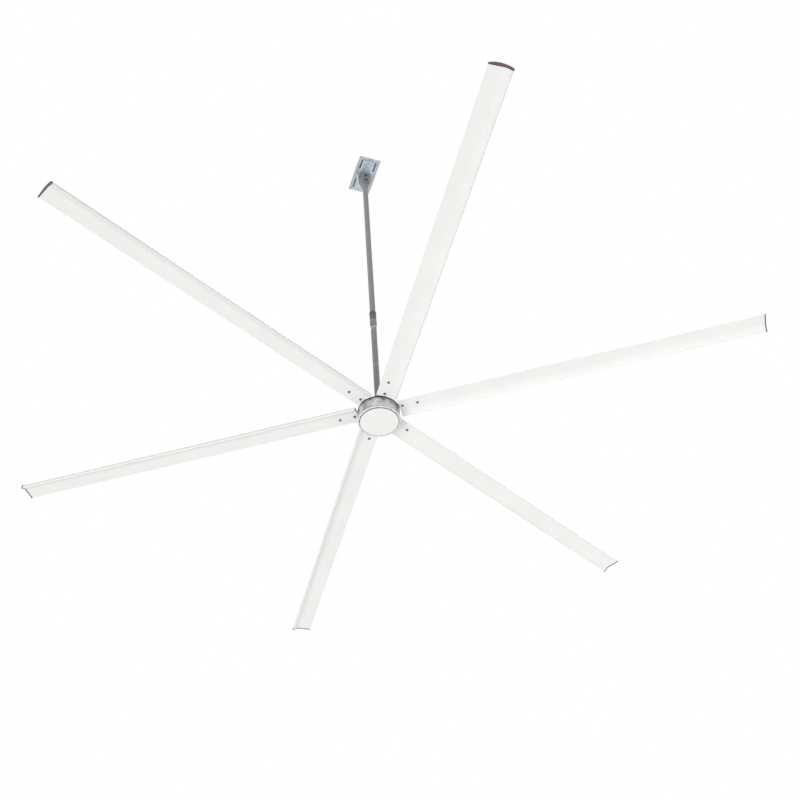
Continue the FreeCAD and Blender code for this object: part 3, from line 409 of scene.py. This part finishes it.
def hall_screed(name):
    """Levelled and sealed screed: a pale, even floor with faint clouds."""
    tree, shader, spot = blank(name, Roughness=0.8, Specular_IOR_Level=0.2, Emission_Color=(1.0, 1.0, 1.0))
    # clouds are about 3 m across
    tint(tree, shader, cloud(tree, spot, 3000, 3.0), tone("#f5f5f4"), tone("#f8f8f7"))
    # the eye sees the floor nearly as white as the surroundings, and it still takes shadows
    glow = 0.22
    lift = add(tree, "ShaderNodeMath", {"operation": "MULTIPLY"}, i0=seen(tree), i1=glow)
    tree.links.new(lift.outputs["Value"], shader.inputs["Emission Strength"])
    # it is clear from underneath, and it fades out between these distances from its middle
    near, far = 19.0, 29.0
    reach = add(tree, "ShaderNodeVectorMath", {"operation": "LENGTH"}, i0=spot)
    fade = add(tree, "ShaderNodeMapRange", {"interpolation_type": "SMOOTHSTEP"},
               Value=reach.outputs["Value"], i1=near, i2=far)
    side = add(tree, "ShaderNodeNewGeometry")
    gone = add(tree, "ShaderNodeMath", {"operation": "MAXIMUM"}, i0=fade.outputs["Result"],
               i1=side.outputs["Backfacing"])
    clear = add(tree, "ShaderNodeBsdfTransparent")
    mix = add(tree, "ShaderNodeMixShader", i0=gone.outputs["Value"], i1=shader.outputs["BSDF"],
              i2=clear.outputs["BSDF"])
    tree.links.new(mix.outputs["Shader"], tree.nodes["Material Output"].inputs["Surface"])


# Each finish: how it is made, then its colours and measures
FINISHES = {
    "powder_coated_aluminium": (powder_coated_aluminium,),
    "moulded_plum_nylon": (moulded_plum_nylon,),
    "hot_dip_galvanised_steel": (hot_dip_galvanised_steel,),
    "lathe_turned_aluminium": (turned_aluminium, "bare_aluminium"),
    "satin_trim_coat": (satin_enamel, "pale_aluminium", 1.04),
    "satin_mauve_grey_enamel": (satin_enamel, "fork_grey", 1.08),
    "satin_maroon_enamel": (satin_enamel, "band_red", 1.1),
    "satin_grey_enamel": (satin_enamel, "rod_grey", 1.06),
    "satin_dark_grey_enamel": (satin_enamel, "neck_grey", 1.08),
    "satin_dark_red_enamel": (satin_enamel, "coupling_red", 1.1),
    "pale_grey_coat": (satin_enamel, "#c9cac8", 1.05),
    "dark_coated_casting": (rough_coated_casting, "dark_coat"),
    "phosphated_bolt_steel": (phosphated_bolt_steel,),
    "galvanised_weld_bead": (plated_steel, "#8d949b", "#b4bcc4", 5),
    "zinc_plated_steel": (plated_steel, "#8e9296", "#c2c5c6", 8),
    "ground_bearing_steel": (plated_steel, "#9b9c9e", "#c9cacb", 15),
    "nickel_plated_magnet": (plated_steel, "#84807a", "#b2aea6", 12),
    "weathered_bolt_steel": (plated_steel, "#4f4b57", "#6d6874", 10),
    "stacked_laminations": (stacked_laminations,),
    "enamelled_copper_wire": (enamelled_copper_wire,),
    "nitrile_seal_rubber": (moulded_black, "#2c2d2f", 0.55, 0.7),
    # painted shade: the dark fill inside the ceiling plate's slots
    "dusty_moulded_rubber": (moulded_black, "#4a5056", 0.6, 0.8),
    "moulded_black_nylon": (moulded_black, "#1b1b1c", 0.4, 0.55),
    "woven_white_nylon": (woven_strap,),
    "pale_screed": (hall_screed,),
}


def coat(finish):
    """The material of this finish, made the first time it is asked for."""
    if finish not in bpy.data.materials:
        make, *details = FINISHES[finish]
        make(finish, *details)
    return bpy.data.materials[finish]


# Meshes

def publish(name, bm, body, finish, replaced=(), smooth_angle=35):
    """Turn a bmesh into a piece that rides on a body and shows one finish."""
    bmesh.ops.remove_doubles(bm, verts=bm.verts, dist=TINY)
    bmesh.ops.recalc_face_normals(bm, faces=bm.faces)
    mesh = bpy.data.meshes.new(name)
    bm.to_mesh(mesh)
    bm.free()
    mesh.shade_smooth()
    mesh.set_sharp_from_angle(angle=math.radians(smooth_angle))
    piece = bpy.data.objects.new(name, mesh)
    bpy.context.scene.collection.objects.link(piece)
    mesh.materials.append(coat(finish))
    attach(piece, body)
    if replaced:
        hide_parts(*replaced)
    return piece


def eased(node, body, finish, width=1.5 * MM):
    """A copy of a CAD piece whose sharp edges are eased, as grinding and coating leave them."""
    flat = math.radians(2)
    sharp = math.radians(50)
    bm = bmesh.new()
    bm.from_mesh(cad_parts[node].data)
    bmesh.ops.remove_doubles(bm, verts=bm.verts, dist=TINY)
    bmesh.ops.dissolve_limit(bm, angle_limit=flat, verts=bm.verts, edges=bm.edges)
    edges = [edge for edge in bm.edges if edge.is_manifold and edge.calc_face_angle(0.0) > sharp]
    bmesh.ops.bevel(bm, geom=edges, offset=width, segments=2, profile=0.5, affect="EDGES",
                    clamp_overlap=True)
    publish(f"{node}_eased", bm, body, finish, [node])


def dress(names, finish):
    """Give CAD pieces of right shape their finish."""
    for name in names:
        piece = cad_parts[name]
        piece.data.materials.clear()
        piece.data.materials.append(coat(finish))


def rounded(corners, radius, steps=5):
    """Closed outline with every corner rounded, as far as its two sides allow."""
    side_share = 0.48
    points = []
    count = len(corners)
    for index, corner in enumerate(corners):
        here = Vector(corner)
        before = Vector(corners[index - 1]) - here
        after = Vector(corners[(index + 1) % count]) - here
        half = before.angle(after) / 2
        reach = min(radius / math.tan(half), before.length * side_share, after.length * side_share)
        start = here + before.normalized() * reach
        end = here + after.normalized() * reach
        for step in range(steps + 1):
            t = step / steps
            points.append(start.lerp(here, t).lerp(here.lerp(end, t), t))
    return [tuple(point) for point in points]


def ring_section(inner, outer, low, high):
    """Corners of a plain ring's section."""
    return [(inner, low), (outer, low), (outer, high), (inner, high)]


def stitch(bm, rings, closed):
    """Faces between neighbouring rings of points; a closed row also joins its last ring to its first."""
    for ring, following in zip(rings, rings[1:] + rings[:1] if closed else rings[1:]):
        for index in range(len(ring)):
            other = (index + 1) % len(ring)
            corners = dict.fromkeys((ring[index], ring[other], following[other], following[index]))
            if len(corners) > 2:
                bm.faces.new(list(corners))


def lathe(bm, outline, segments, place=Matrix()):
    """Spin a closed outline of (radius, height) about the rod's axis, or about the Z axis of a place."""
    rings = []
    for radius, height in outline:
        if radius < TINY:
            rings.append([bm.verts.new(place @ Vector((0, 0, height)))] * segments)
            continue
        turns = [math.tau * index / segments for index in range(segments)]
        points = [Vector((radius * math.cos(t), radius * math.sin(t), height)) for t in turns]
        rings.append([bm.verts.new(place @ point) for point in points])
    stitch(bm, rings, True)


def turned(name, outline, segments, body, finish, replaced=()):
    """A piece that is round about the rod's axis."""
    bm = bmesh.new()
    lathe(bm, outline, segments)
    publish(name, bm, body, finish, replaced)


def loft(bm, loops, hollow_loops=()):
    """Skin between outlines of equally many points, closed at both ends; hollows run right through."""
    def wall(ring_points):
        rings = [[bm.verts.new(point) for point in ring] for ring in ring_points]
        stitch(bm, rings, False)
        return rings

    outer = wall(loops)
    inner = [wall(hollow) for hollow in hollow_loops]
    for end in (0, -1):
        rings = [outer[end]] + [hollow[end] for hollow in inner]
        verts = [vert for ring in rings for vert in ring]
        for triangle in tessellate_polygon([[vert.co for vert in ring] for ring in rings]):
            bm.faces.new([verts[index] for index in triangle])


def arc(first, middle, last, steps):
    """Points of the circle through three points, from the first to the last."""
    (ax, ay), (bx, by), (cx, cy) = first, middle, last
    d = 2 * (ax * (by - cy) + bx * (cy - ay) + cx * (ay - by))
    a2, b2, c2 = ax * ax + ay * ay, bx * bx + by * by, cx * cx + cy * cy
    x = (a2 * (by - cy) + b2 * (cy - ay) + c2 * (ay - by)) / d
    y = (a2 * (cx - bx) + b2 * (ax - cx) + c2 * (bx - ax)) / d
    radius = math.hypot(ax - x, ay - y)
    start = math.atan2(ay - y, ax - x)
    through = (math.atan2(by - y, bx - x) - start) % math.tau
    sweep = (math.atan2(cy - y, cx - x) - start) % math.tau
    if through > sweep:
        sweep -= math.tau
    turns = [start + sweep * step / steps for step in range(steps + 1)]
    return [(x + radius * math.cos(t), y + radius * math.sin(t)) for t in turns]


def blade_angles(shape):
    """Headings of the blades about the rod."""
    return [shape.blade_start + math.tau * index / BLADES for index in range(BLADES)]


def blade_place(shape, turn):
    """Place of a blade's own axes: X along its arm, Y to its blunt edge, with its pitch."""
    middle = HUB_TOP + shape.arm_thickness / 2
    return (Matrix.Rotation(turn, 4, "Z") @ Matrix.Translation((0, 0, middle))
            @ Matrix.Rotation(-shape.blade_pitch, 4, "X"))


def underside(shape):
    """Height of the flat underside in a blade's own axes."""
    return -shape.arm_thickness / 2 - CLOSE_FIT - shape.skin


def section_corners(shape, grow=0.0):
    """Points that drive a blade's outline, or the outline of a piece that stands proud of it."""
    low = underside(shape) - grow
    thin = shape.thin_radius + grow
    start = -shape.thin_reach - grow
    end = shape.blunt_reach + grow
    corner = end - shape.blunt_bulge
    blunt_low = low - shape.blunt_droop
    height = shape.blunt_height + grow * 2
    return {
        "thin_low": (start + thin, low),
        "thin": (start, low + thin),
        "thin_high": (start + thin, low + thin * 2),
        "crown": (shape.crown_offset, low + shape.blade_depth + grow * 2),
        "blunt_high": (corner, blunt_low + height),
        "blunt": (end, blunt_low + height / 2),
        "blunt_low": (corner, blunt_low),
        "bend": ((shape.flat_reach + corner) / 2, low - shape.blunt_droop * EDGE_BEND),
        "flat_end": (shape.flat_reach, low),
    }


def section(shape, grow=0.0):
    """Closed outline of a blade: flat underside, drooped blunt edge, arched top and thin edge."""
    at = section_corners(shape, grow)
    points = [at["thin_low"]]
    points += arc(at["flat_end"], at["bend"], at["blunt_low"], steps=20)
    points += arc(at["blunt_low"], at["blunt"], at["blunt_high"], steps=20)[1:]
    points += arc(at["blunt_high"], at["crown"], at["thin_high"], steps=40)[1:]
    points += arc(at["thin_high"], at["thin"], at["thin_low"], steps=10)[1:-1]
    return points


def height_at(points, y):
    """Height of an outline at a distance from the arm's axis."""
    for (first, low), (second, high) in zip(points, points[1:]):
        if min(first, second) <= y <= max(first, second):
            return low + (high - low) * (y - first) / (second - first)
    raise ValueError("the outline does not reach this distance")


def hollow(shape, start, end):
    """Closed outline of a hollow between two webs, about one skin inside the upper and lower faces."""
    floor_skin = shape.skin * 1.15
    roof_skin = shape.skin * 1.1
    at = section_corners(shape)
    top = arc(at["blunt_high"], at["crown"], at["thin_high"], steps=200)
    under = [at["thin_low"]] + arc(at["flat_end"], at["bend"], at["blunt_low"], steps=60)
    steps = 12
    spots = [start + (end - start) * step / steps for step in range(steps + 1)]
    floor = [(y, height_at(under, y) + floor_skin) for y in spots]
    roof = [(y, height_at(top, y) - roof_skin) for y in reversed(spots)]
    return floor + roof


def hollows(shape):
    """Edges of the three hollows: by the thin edge, round the arm and by the blunt edge."""
    half = shape.arm_width / 2 + ARM_PLAY
    web = shape.skin
    thin_end = shape.thin_radius * 4 - shape.thin_reach
    return [(thin_end, -half - web), (-half, half), (half + web, shape.blunt_cell_reach)]


class FAN_OT_blades(bpy.types.Operator):
    """Model the six hollow extruded blades with their powder coat."""

    bl_idname = "fan.blades"
    bl_label = "Blades"

    def execute(self, context):
        shape = context.scene.fan_shape
        start = shape.blade_root
        end = shape.blade_tip - shape.cap_thickness
        for number, turn in enumerate(blade_angles(shape), 1):
            bm = bmesh.new()
            outlines = [section(shape)] + [hollow(shape, left, right) for left, right in hollows(shape)]
            skin, *cells = [[[(x, y, z) for y, z in outline] for x in (start, end)] for outline in outlines]
            loft(bm, skin, cells)
            bm.transform(blade_place(shape, turn))
            publish(f"blade_skin_{number}", bm, "rotor", "powder_coated_aluminium",
                    [f"blade_{number}"])
        return {"FINISHED"}


class FAN_OT_tip_caps(bpy.types.Operator):
    """Model the moulded caps that close the blades' outer ends."""

    bl_idname = "fan.tip_caps"
    bl_label = "Tip caps"

    def execute(self, context):
        shape = context.scene.fan_shape
        tip = shape.blade_tip
        start = tip - shape.cap_thickness
        chamfer = shape.cap_round / 3
        steps = 5
        loops = [(start, shape.cap_proud - chamfer), (start + chamfer, shape.cap_proud)]
        for step in range(steps + 1):
            lean = math.pi / 2 * step / steps
            loops.append((tip - shape.cap_round * (1 - math.sin(lean)),
                          shape.cap_proud - shape.cap_round * (1 - math.cos(lean))))
        for number, turn in enumerate(blade_angles(shape), 1):
            bm = bmesh.new()
            loft(bm, [[(x, y, z) for y, z in section(shape, grow)] for x, grow in loops])
            bm.transform(blade_place(shape, turn))
            publish(f"end_cap_{number}", bm, "rotor", "moulded_plum_nylon",
                    [f"tip_cap_{number}"])
        return {"FINISHED"}


class FAN_OT_hub(bpy.types.Operator):
    """Model the turned drum, its trim ring and the white bottom cover, and finish the hub's plates."""

    bl_idname = "fan.hub"
    bl_label = "Hub"

    def execute(self, context):
        shape = context.scene.fan_shape
        self.drum(shape)
        self.trim(shape)
        self.cover()
        self.seals()
        dress(["rotor_top_plate", "rotor_bottom_plate"], "dark_coated_casting")
        dress(["shaft_seal"], "nitrile_seal_rubber")
        for number in range(1, BLADES + 1):
            eased(f"blade_arm_{number}", "rotor", "pale_grey_coat", 1 * MM)
        return {"FINISHED"}

    def seals(self):
        """Dark rings: one round the cover's rim, which paints the shade of the gap behind the cover's edge,
        and one under the top plate, which widens the dark band at the drum's top.
        """
        sunk = 2 * MM
        proud = 1.5 * MM
        rounding = 0.8 * MM
        cover_bend = 5 * MM
        top_height = 6 * MM
        # the ring round the cover is painted shade; the ring under the top plate darkens the drum's top edge
        for name, radius, low, high in (
                ("cover_edge_seal", COVER_HIGH.x, COVER_LOW.z + cover_bend, COVER_HIGH.z),
                ("drum_top_seal", HUB_RADIUS, DRUM_HIGH - top_height, DRUM_HIGH)):
            outline = rounded(ring_section(radius - sunk, radius + proud, low, high), rounding, steps=3)
            turned(name, outline, HUB_SIDES, "rotor", "nitrile_seal_rubber")

    def drum(self, shape):
        """Turned drum with a groove near its lower edge."""
        groove_depth = 3 * MM
        groove_height = 4 * MM
        groove_rise = 7 * MM
        groove_low = DRUM_LOW + groove_rise
        inner = HUB_RADIUS - DRUM_WALL
        corners = [
            (inner, DRUM_LOW),
            (HUB_RADIUS, DRUM_LOW),
            (HUB_RADIUS, groove_low),
            (HUB_RADIUS - groove_depth, groove_low),
            (HUB_RADIUS - groove_depth, groove_low + groove_height),
            (HUB_RADIUS, groove_low + groove_height),
            (HUB_RADIUS, DRUM_HIGH),
            (inner, DRUM_HIGH),
        ]
        turned("turned_drum", rounded(corners, shape.edge_round), HUB_SIDES, "rotor",
               "lathe_turned_aluminium", ["rotor_drum"])

    def trim(self, shape):
        """Satin trim ring under the drum, with a bevelled lower edge."""
        outer = TRIM_HIGH.x
        inner = HUB_RADIUS - DRUM_WALL
        bevel = 3 * MM
        corners = [
            (inner, TRIM_LOW.z),
            (outer - bevel, TRIM_LOW.z),
            (outer, TRIM_LOW.z + bevel),
            (outer, TRIM_HIGH.z),
            (inner, TRIM_HIGH.z),
        ]
        turned("spun_trim_ring", rounded(corners, shape.edge_round), HUB_SIDES, "rotor",
               "satin_trim_coat", ["trim_ring"])

    def cover(self):
        """Pressed cover: a shallow dish of sheet with a rounded edge and an upright rim."""
        outer = COVER_HIGH.x
        low, high = COVER_LOW.z, COVER_HIGH.z
        sheet = 4 * MM
        edge = 7 * MM
        crown = 2 * MM
        bend = edge * 0.29
        outline = [(0, low)]
        outline += [(outer * share, low + crown * share ** 2) for share in (0.25, 0.5, 0.75, 0.9)]
        outline += arc((outer - edge, low + crown), (outer - bend, low + crown + bend),
                       (outer, low + crown + edge), steps=8)
        outline += [(outer, high), (outer - sheet, high), (outer - sheet, low + crown + edge)]
        outline += [(outer - sheet - edge, low + crown + sheet), (0, low + sheet)]
        turned("pressed_bottom_cover", outline, HUB_SIDES, "rotor",
               "powder_coated_aluminium", ["bottom_cover"])


def weld_ring(bm, radius, height, size, rise):
    """Welded fillet round a tube: overlapping scales in the corner between the tube and what it meets."""
    fewest = 48
    turns = max(fewest, int(math.tau * radius / (size * BEAD_SCALE)))
    rings = []
    for index in range(turns):
        turn = math.tau * index / turns
        wander = 0.06 * noise.noise((index * 0.37, radius, height))
        bead = size * BEAD_RADIUS * (1 + 0.1 * math.sin(index * BEAD_BEAT) + wander)
        ring = []
        for side in range(BEAD_SIDES):
            lean = math.tau * side / BEAD_SIDES
            out = radius + bead * math.cos(lean)
            up = height + rise * bead * math.sin(lean)
            ring.append(bm.verts.new((out * math.cos(turn), out * math.sin(turn), up)))
        rings.append(ring)
    stitch(bm, rings, True)


def weld_line(bm, start, end, size):
    """Welded fillet along a straight seam, with overlapping scales and tapering ends."""
    start, end, upward = Vector(start), Vector(end), Vector((0, 0, 1))
    across = (end - start).normalized().cross(upward).normalized()
    fewest = 8
    count = max(fewest, int((end - start).length / (size * BEAD_SCALE)))
    rings = []
    for index in range(count + 1):
        share = index / count
        taper = min(1.0, 0.35 + 6 * min(share, 1 - share))
        bead = size * BEAD_RADIUS * (1 + 0.12 * math.sin(index * BEAD_BEAT)) * taper
        centre = start.lerp(end, share)
        leans = [math.tau * side / BEAD_SIDES for side in range(BEAD_SIDES)]
        rings.append([bm.verts.new(centre + (across * math.cos(lean) + upward * math.sin(lean)) * bead)
                      for lean in leans])
    stitch(bm, rings, False)
    bm.faces.new(rings[0])
    bm.faces.new(rings[-1])


class FAN_OT_mount(bpy.types.Operator):
    """Finish the galvanised ceiling plate and fork, and lay their weld beads."""

    bl_idname = "fan.mount"
    bl_label = "Ceiling mount"

    def execute(self, context):
        shape = context.scene.fan_shape
        eased("mount_plate", "mount", "hot_dip_galvanised_steel", 1 * MM)
        for node in ("fork_cheek_front", "fork_cheek_back"):
            eased(node, "mount", "satin_mauve_grey_enamel")
        self.slot_seals(shape)
        dress(["pivot_bolt", "pivot_nut"], "weathered_bolt_steel")
        dress(["pivot_washers"], "zinc_plated_steel")
        bm = bmesh.new()
        for node in ("fork_cheek_front", "fork_cheek_back"):
            low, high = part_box(node)
            for x in (low.x, high.x):
                weld_line(bm, (x, low.y, high.z), (x, high.y, high.z), shape.weld_size)
        publish("fork_weld_beads", bm, "mount", "galvanised_weld_bead", smooth_angle=60)
        return {"FINISHED"}

    def slot_seals(self, shape):
        """Dark strips inside the plate's slots, at the ceiling side: painted shade of the dark space seen
        through the slots.
        """
        play = 0.3 * MM
        low, high = -2.5 * MM, -0.3 * MM
        steps = 12
        bm = bmesh.new()
        radius = shape.slot_width / 2 - play
        straight = (shape.slot_length - shape.slot_width) / 2
        outline = []
        for end in (1, -1):
            for step in range(steps + 1):
                lean = math.pi * step / steps - math.pi / 2
                outline.append((end * (straight + radius * math.cos(lean)), end * radius * math.sin(lean)))
        for along in (-shape.slot_along, shape.slot_along):
            for across in (-shape.slot_across, shape.slot_across):
                loft(bm, [[(x + along, y + across, z) for x, y in outline] for z in (low, high)])
        publish("slot_seals", bm, "mount", "dusty_moulded_rubber")


class FAN_OT_downrod(bpy.types.Operator):
    """Finish the sectional rod: enamelled tubes, coupling sleeve, strap, joint ring and weld beads."""

    bl_idname = "fan.downrod"
    bl_label = "Downrod"

    def execute(self, context):
        shape = context.scene.fan_shape
        eased("hanger_block", "downrod", "satin_mauve_grey_enamel")
        eased("rod_flange", "downrod", "satin_grey_enamel")
        dress(["upper_rod", "joint_spigot"], "satin_grey_enamel")
        # the lower rod and the neck take the darker copy of the rod's enamel as painted shade
        dress(["lower_rod", "neck_tube"], "satin_dark_grey_enamel")
        dress(["lock_bolt", "lock_nut"], "weathered_bolt_steel")
        dress(["lock_washers", "coupling_screws", "flange_bolts"], "zinc_plated_steel")
        dress(["cable_gland"], "moulded_black_nylon")
        self.coupling(shape)
        self.strap(shape)
        self.joint_ring()
        self.welds(shape)
        return {"FINISHED"}

    def coupling(self, shape):
        """Coupling in three tones: a dark top band, the mauve sleeve and a grey collar."""
        outer = COUPLING_HIGH.x
        top, bottom = COUPLING_HIGH.z, COUPLING_LOW.z
        inner = ROD_RADIUS + CLOSE_FIT
        rounding = 2 * MM
        band = top - shape.band_height
        seam = top - shape.sleeve_height
        for name, high, low, proud, finish, replaced in (
                ("coupling_top_band", top, band, 1 * MM, "satin_maroon_enamel", []),
                ("coupling_sleeve", band, seam, 0.0, "satin_dark_red_enamel", ["rod_coupling"]),
                ("coupling_collar", seam, bottom, 0.5 * MM, "satin_dark_grey_enamel", [])):
            outline = rounded(ring_section(inner, outer + proud, low, high), rounding)
            turned(name, outline, ROD_SIDES, "downrod", finish, replaced)

    def strap(self, shape):
        """White woven strap laid round the rod on a slant, with its folded end."""
        middle = (COUPLING_LOW.z + COUPLING_HIGH.z) / 2 - shape.strap_drop
        half = shape.strap_width / 2
        thinnest = 2.2 * MM
        fold_height = 1.2 * MM
        # in radians on from the strap's high side
        fold_side = shape.strap_side + 2.2
        fold_sharpness = 8
        rounding = 0.8 * MM
        turns = 72
        bm = bmesh.new()
        rings = []
        for index in range(turns):
            turn = math.tau * index / turns
            rise = math.tan(shape.strap_lean) * ROD_RADIUS * math.cos(turn - shape.strap_side)
            thick = thinnest + fold_height * max(0.0, math.cos(turn - fold_side)) ** fold_sharpness
            outline = rounded(ring_section(ROD_RADIUS, ROD_RADIUS + thick, -half, half), rounding, steps=2)
            rings.append([bm.verts.new((out * math.cos(turn), out * math.sin(turn), middle + rise + up))
                          for out, up in outline])
        stitch(bm, rings, True)
        publish("white_strap", bm, "downrod", "woven_white_nylon")

    def joint_ring(self):
        """Bare, bright ring that shows where the neck meets the lower rod."""
        half = 3 * MM
        sunk = 1 * MM
        proud = 0.8 * MM
        rounding = 0.6 * MM
        corners = ring_section(ROD_RADIUS - sunk, ROD_RADIUS + proud, NECK_TOP - half, NECK_TOP + half)
        turned("bright_joint_ring", rounded(corners, rounding, steps=3), ROD_SIDES, "downrod",
               "ground_bearing_steel")

    def welds(self, shape):
        """Enamelled beads at the rod's top and on its lower collar."""
        collar_gap = shape.weld_size * 0.3
        bm = bmesh.new()
        weld_ring(bm, ROD_RADIUS, ROD_TOP, shape.weld_size, rise=1.0)
        weld_ring(bm, ROD_RADIUS + collar_gap, COLLAR_TOP, shape.weld_size, rise=0.8)
        publish("rod_weld_beads", bm, "downrod", "satin_grey_enamel", smooth_angle=60)


class FAN_OT_fasteners(bpy.types.Operator):
    """Finish the hub's bolts and screws, and add the blade bolts' flanges and the trim screws' heads."""

    bl_idname = "fan.fasteners"
    bl_label = "Fasteners"

    def execute(self, context):
        shape = context.scene.fan_shape
        dress(["blade_bolts", "blade_nuts"], "phosphated_bolt_steel")
        dress(["arm_bolts", "plate_screws", "cover_posts"], "zinc_plated_steel")
        bm = bmesh.new()
        low = underside(shape)
        thick = 2.5 * MM
        inner = 6 * MM
        rounding = 1 * MM
        sides = 32
        outline = rounded(ring_section(inner, shape.bolt_flange, low - thick, low), rounding, steps=3)
        for turn in blade_angles(shape):
            for distance in (shape.bolt_inner, shape.bolt_outer):
                place = blade_place(shape, turn) @ Matrix.Translation((distance, 0, 0))
                lathe(bm, outline, sides, place)
        publish("blade_bolt_flanges", bm, "rotor", "phosphated_bolt_steel")
        self.trim_screws(shape)
        return {"FINISHED"}

    def trim_screws(self, shape):
        """Domed heads with a driver's socket, over the screws sunk in the trim ring."""
        dome = [(6, 0.5), (6, -0.8), (5.2, -1.9), (3.6, -2.6), (2.4, -2.7)]
        socket = [(2.2, -2.4), (2.2, -0.6), (0, -0.6), (0, 0.5)]
        outline = [(radius * MM, height * MM) for radius, height in dome + socket]
        circle = HUB_RADIUS - DRUM_WALL / 2
        sides = 24
        bm = bmesh.new()
        for turn in blade_angles(shape):
            for lean in (-shape.screw_lean, shape.screw_lean):
                heading = turn + math.pi / BLADES + lean
                place = Matrix.Rotation(heading, 4, "Z") @ Matrix.Translation((circle, 0, TRIM_LOW.z))
                lathe(bm, outline, sides, place)
        publish("trim_screw_heads", bm, "rotor", "zinc_plated_steel")


class FAN_OT_motor(bpy.types.Operator):
    """Finish the motor's inner pieces."""

    bl_idname = "fan.motor"
    bl_label = "Motor"

    def execute(self, context):
        bearings = [f"{side}_bearing_{piece}" for side in ("upper", "lower")
                    for piece in ("inner_race", "outer_race", "balls")]
        dress(bearings + ["motor_shaft", "shaft_nut"], "ground_bearing_steel")
        dress(["stator_core"], "stacked_laminations")
        dress(["stator_coils"], "enamelled_copper_wire")
        dress(["rotor_magnets"], "nickel_plated_magnet")
        return {"FINISHED"}


class FAN_OT_stage(bpy.types.Operator):
    """Set up the pale floor, the studio light and the camera."""

    bl_idname = "fan.stage"
    bl_label = "Stage"

    def execute(self, context):
        scene = context.scene
        scene.view_settings.view_transform = "Standard"
        self.floor(scene)
        self.world(scene)
        self.lamps(scene)
        self.camera(scene)
        return {"FINISHED"}

    def floor(self, scene):
        """Pale hall floor well below the fan; seen from underneath it is clear."""
        half = 60.0
        depth = -13.0
        corners = [(-half, -half, depth), (half, -half, depth), (half, half, depth), (-half, half, depth)]
        mesh = bpy.data.meshes.new("hall_floor")
        mesh.from_pydata(corners, [], [(0, 1, 2, 3)])
        mesh.materials.append(coat("pale_screed"))
        floor = bpy.data.objects.new("hall_floor", mesh)
        scene.collection.objects.link(floor)
        # the key shines up from below, so the floor is no obstacle to it
        floor.visible_shadow = False

    def world(self, scene):
        """Even white surroundings: full white where they are seen or mirrored, softer as light."""
        world = bpy.data.worlds.new("white_studio")
        scene.world = world
        world.use_nodes = True
        tree = world.node_tree
        tree.nodes.clear()
        light_strength = 0.44
        light = add(tree, "ShaderNodeBackground", Color=(1.0, 1.0, 1.0), Strength=light_strength)
        white = add(tree, "ShaderNodeBackground", Color=(1.0, 1.0, 1.0), Strength=1.0)
        mix = add(tree, "ShaderNodeMixShader", i0=seen(tree), i1=light.outputs["Background"],
                  i2=white.outputs["Background"])
        add(tree, "ShaderNodeOutputWorld", Surface=mix.outputs["Shader"])

    def lamps(self, scene):
        """A soft, far key from below and to the left, a fill from the right and a small light overhead."""
        middle = Vector((0, 0, HUB_TOP))
        for name, kind, place, size, power in (
                ("key_light", "SUN", (5.6, -7.3, -14.0), 0.6, 1.32),
                ("fill_softbox", "AREA", (5.4, 18.8, -14.0), 8.0, 220.0),
                ("top_light", "SUN", (-3.0, 4.0, 8.0), 0.05, 1.0)):
            data = bpy.data.lights.new(name, kind)
            data.energy = power
            if kind == "SUN":
                data.angle = size
            else:
                data.shape = "SQUARE"
                data.size = size
            lamp = bpy.data.objects.new(name, data)
            lamp.visible_camera = False
            lamp.location = place
            lamp.rotation_euler = (middle - Vector(place)).to_track_quat("-Z", "Y").to_euler()
            scene.collection.objects.link(lamp)

    def camera(self, scene):
        """View from below, as in the photograph."""
        azimuth = math.radians(68)
        elevation = math.radians(-45.8)
        roll = math.radians(4.6)
        place = Matrix.Translation((6.973, -2.589, -11.615))
        data = bpy.data.cameras.new("camera")
        data.sensor_width = 36.0
        data.lens = 49.95
        data.clip_end = 500.0
        camera = bpy.data.objects.new("camera", data)
        back = Vector((math.sin(azimuth) * math.cos(elevation), -math.cos(azimuth) * math.cos(elevation),
                       math.sin(elevation)))
        turn = back.to_track_quat("Z", "Y").to_matrix().to_4x4()
        camera.matrix_world = place @ turn @ Matrix.Rotation(-roll, 4, "Z")
        scene.collection.objects.link(camera)
        scene.camera = camera


class VIEW3D_PT_fan(bpy.types.Panel):
    """Sizes, finishes and building steps of the ceiling fan."""

    bl_label = "Ceiling fan"
    bl_idname = "VIEW3D_PT_fan"
    bl_space_type = "VIEW_3D"
    bl_region_type = "UI"
    bl_category = "Ceiling fan"

    def draw(self, context):
        for group in (context.scene.fan_shape, context.scene.fan_finish):
            box = self.layout.box()
            for name in group.__annotations__:
                box.prop(group, name)
        for step in STEPS:
            self.layout.operator(step.bl_idname)


STEPS = (FAN_OT_mount, FAN_OT_downrod, FAN_OT_hub, FAN_OT_blades, FAN_OT_tip_caps, FAN_OT_fasteners,
         FAN_OT_motor, FAN_OT_stage)
CLASSES = (FanShape, FanFinish, *STEPS, VIEW3D_PT_fan)


def register():
    for item in CLASSES:
        bpy.utils.register_class(item)
    bpy.types.Scene.fan_shape = bpy.props.PointerProperty(type=FanShape)
    bpy.types.Scene.fan_finish = bpy.props.PointerProperty(type=FanFinish)


def unregister():
    del bpy.types.Scene.fan_finish
    del bpy.types.Scene.fan_shape
    for item in reversed(CLASSES):
        bpy.utils.unregister_class(item)


def main():
    register()
    bpy.ops.fan.mount()
    bpy.ops.fan.downrod()
    bpy.ops.fan.hub()
    bpy.ops.fan.blades()
    bpy.ops.fan.tip_caps()
    bpy.ops.fan.fasteners()
    bpy.ops.fan.motor()
    bpy.ops.fan.stage()


if __name__ == "__main__":
    main()
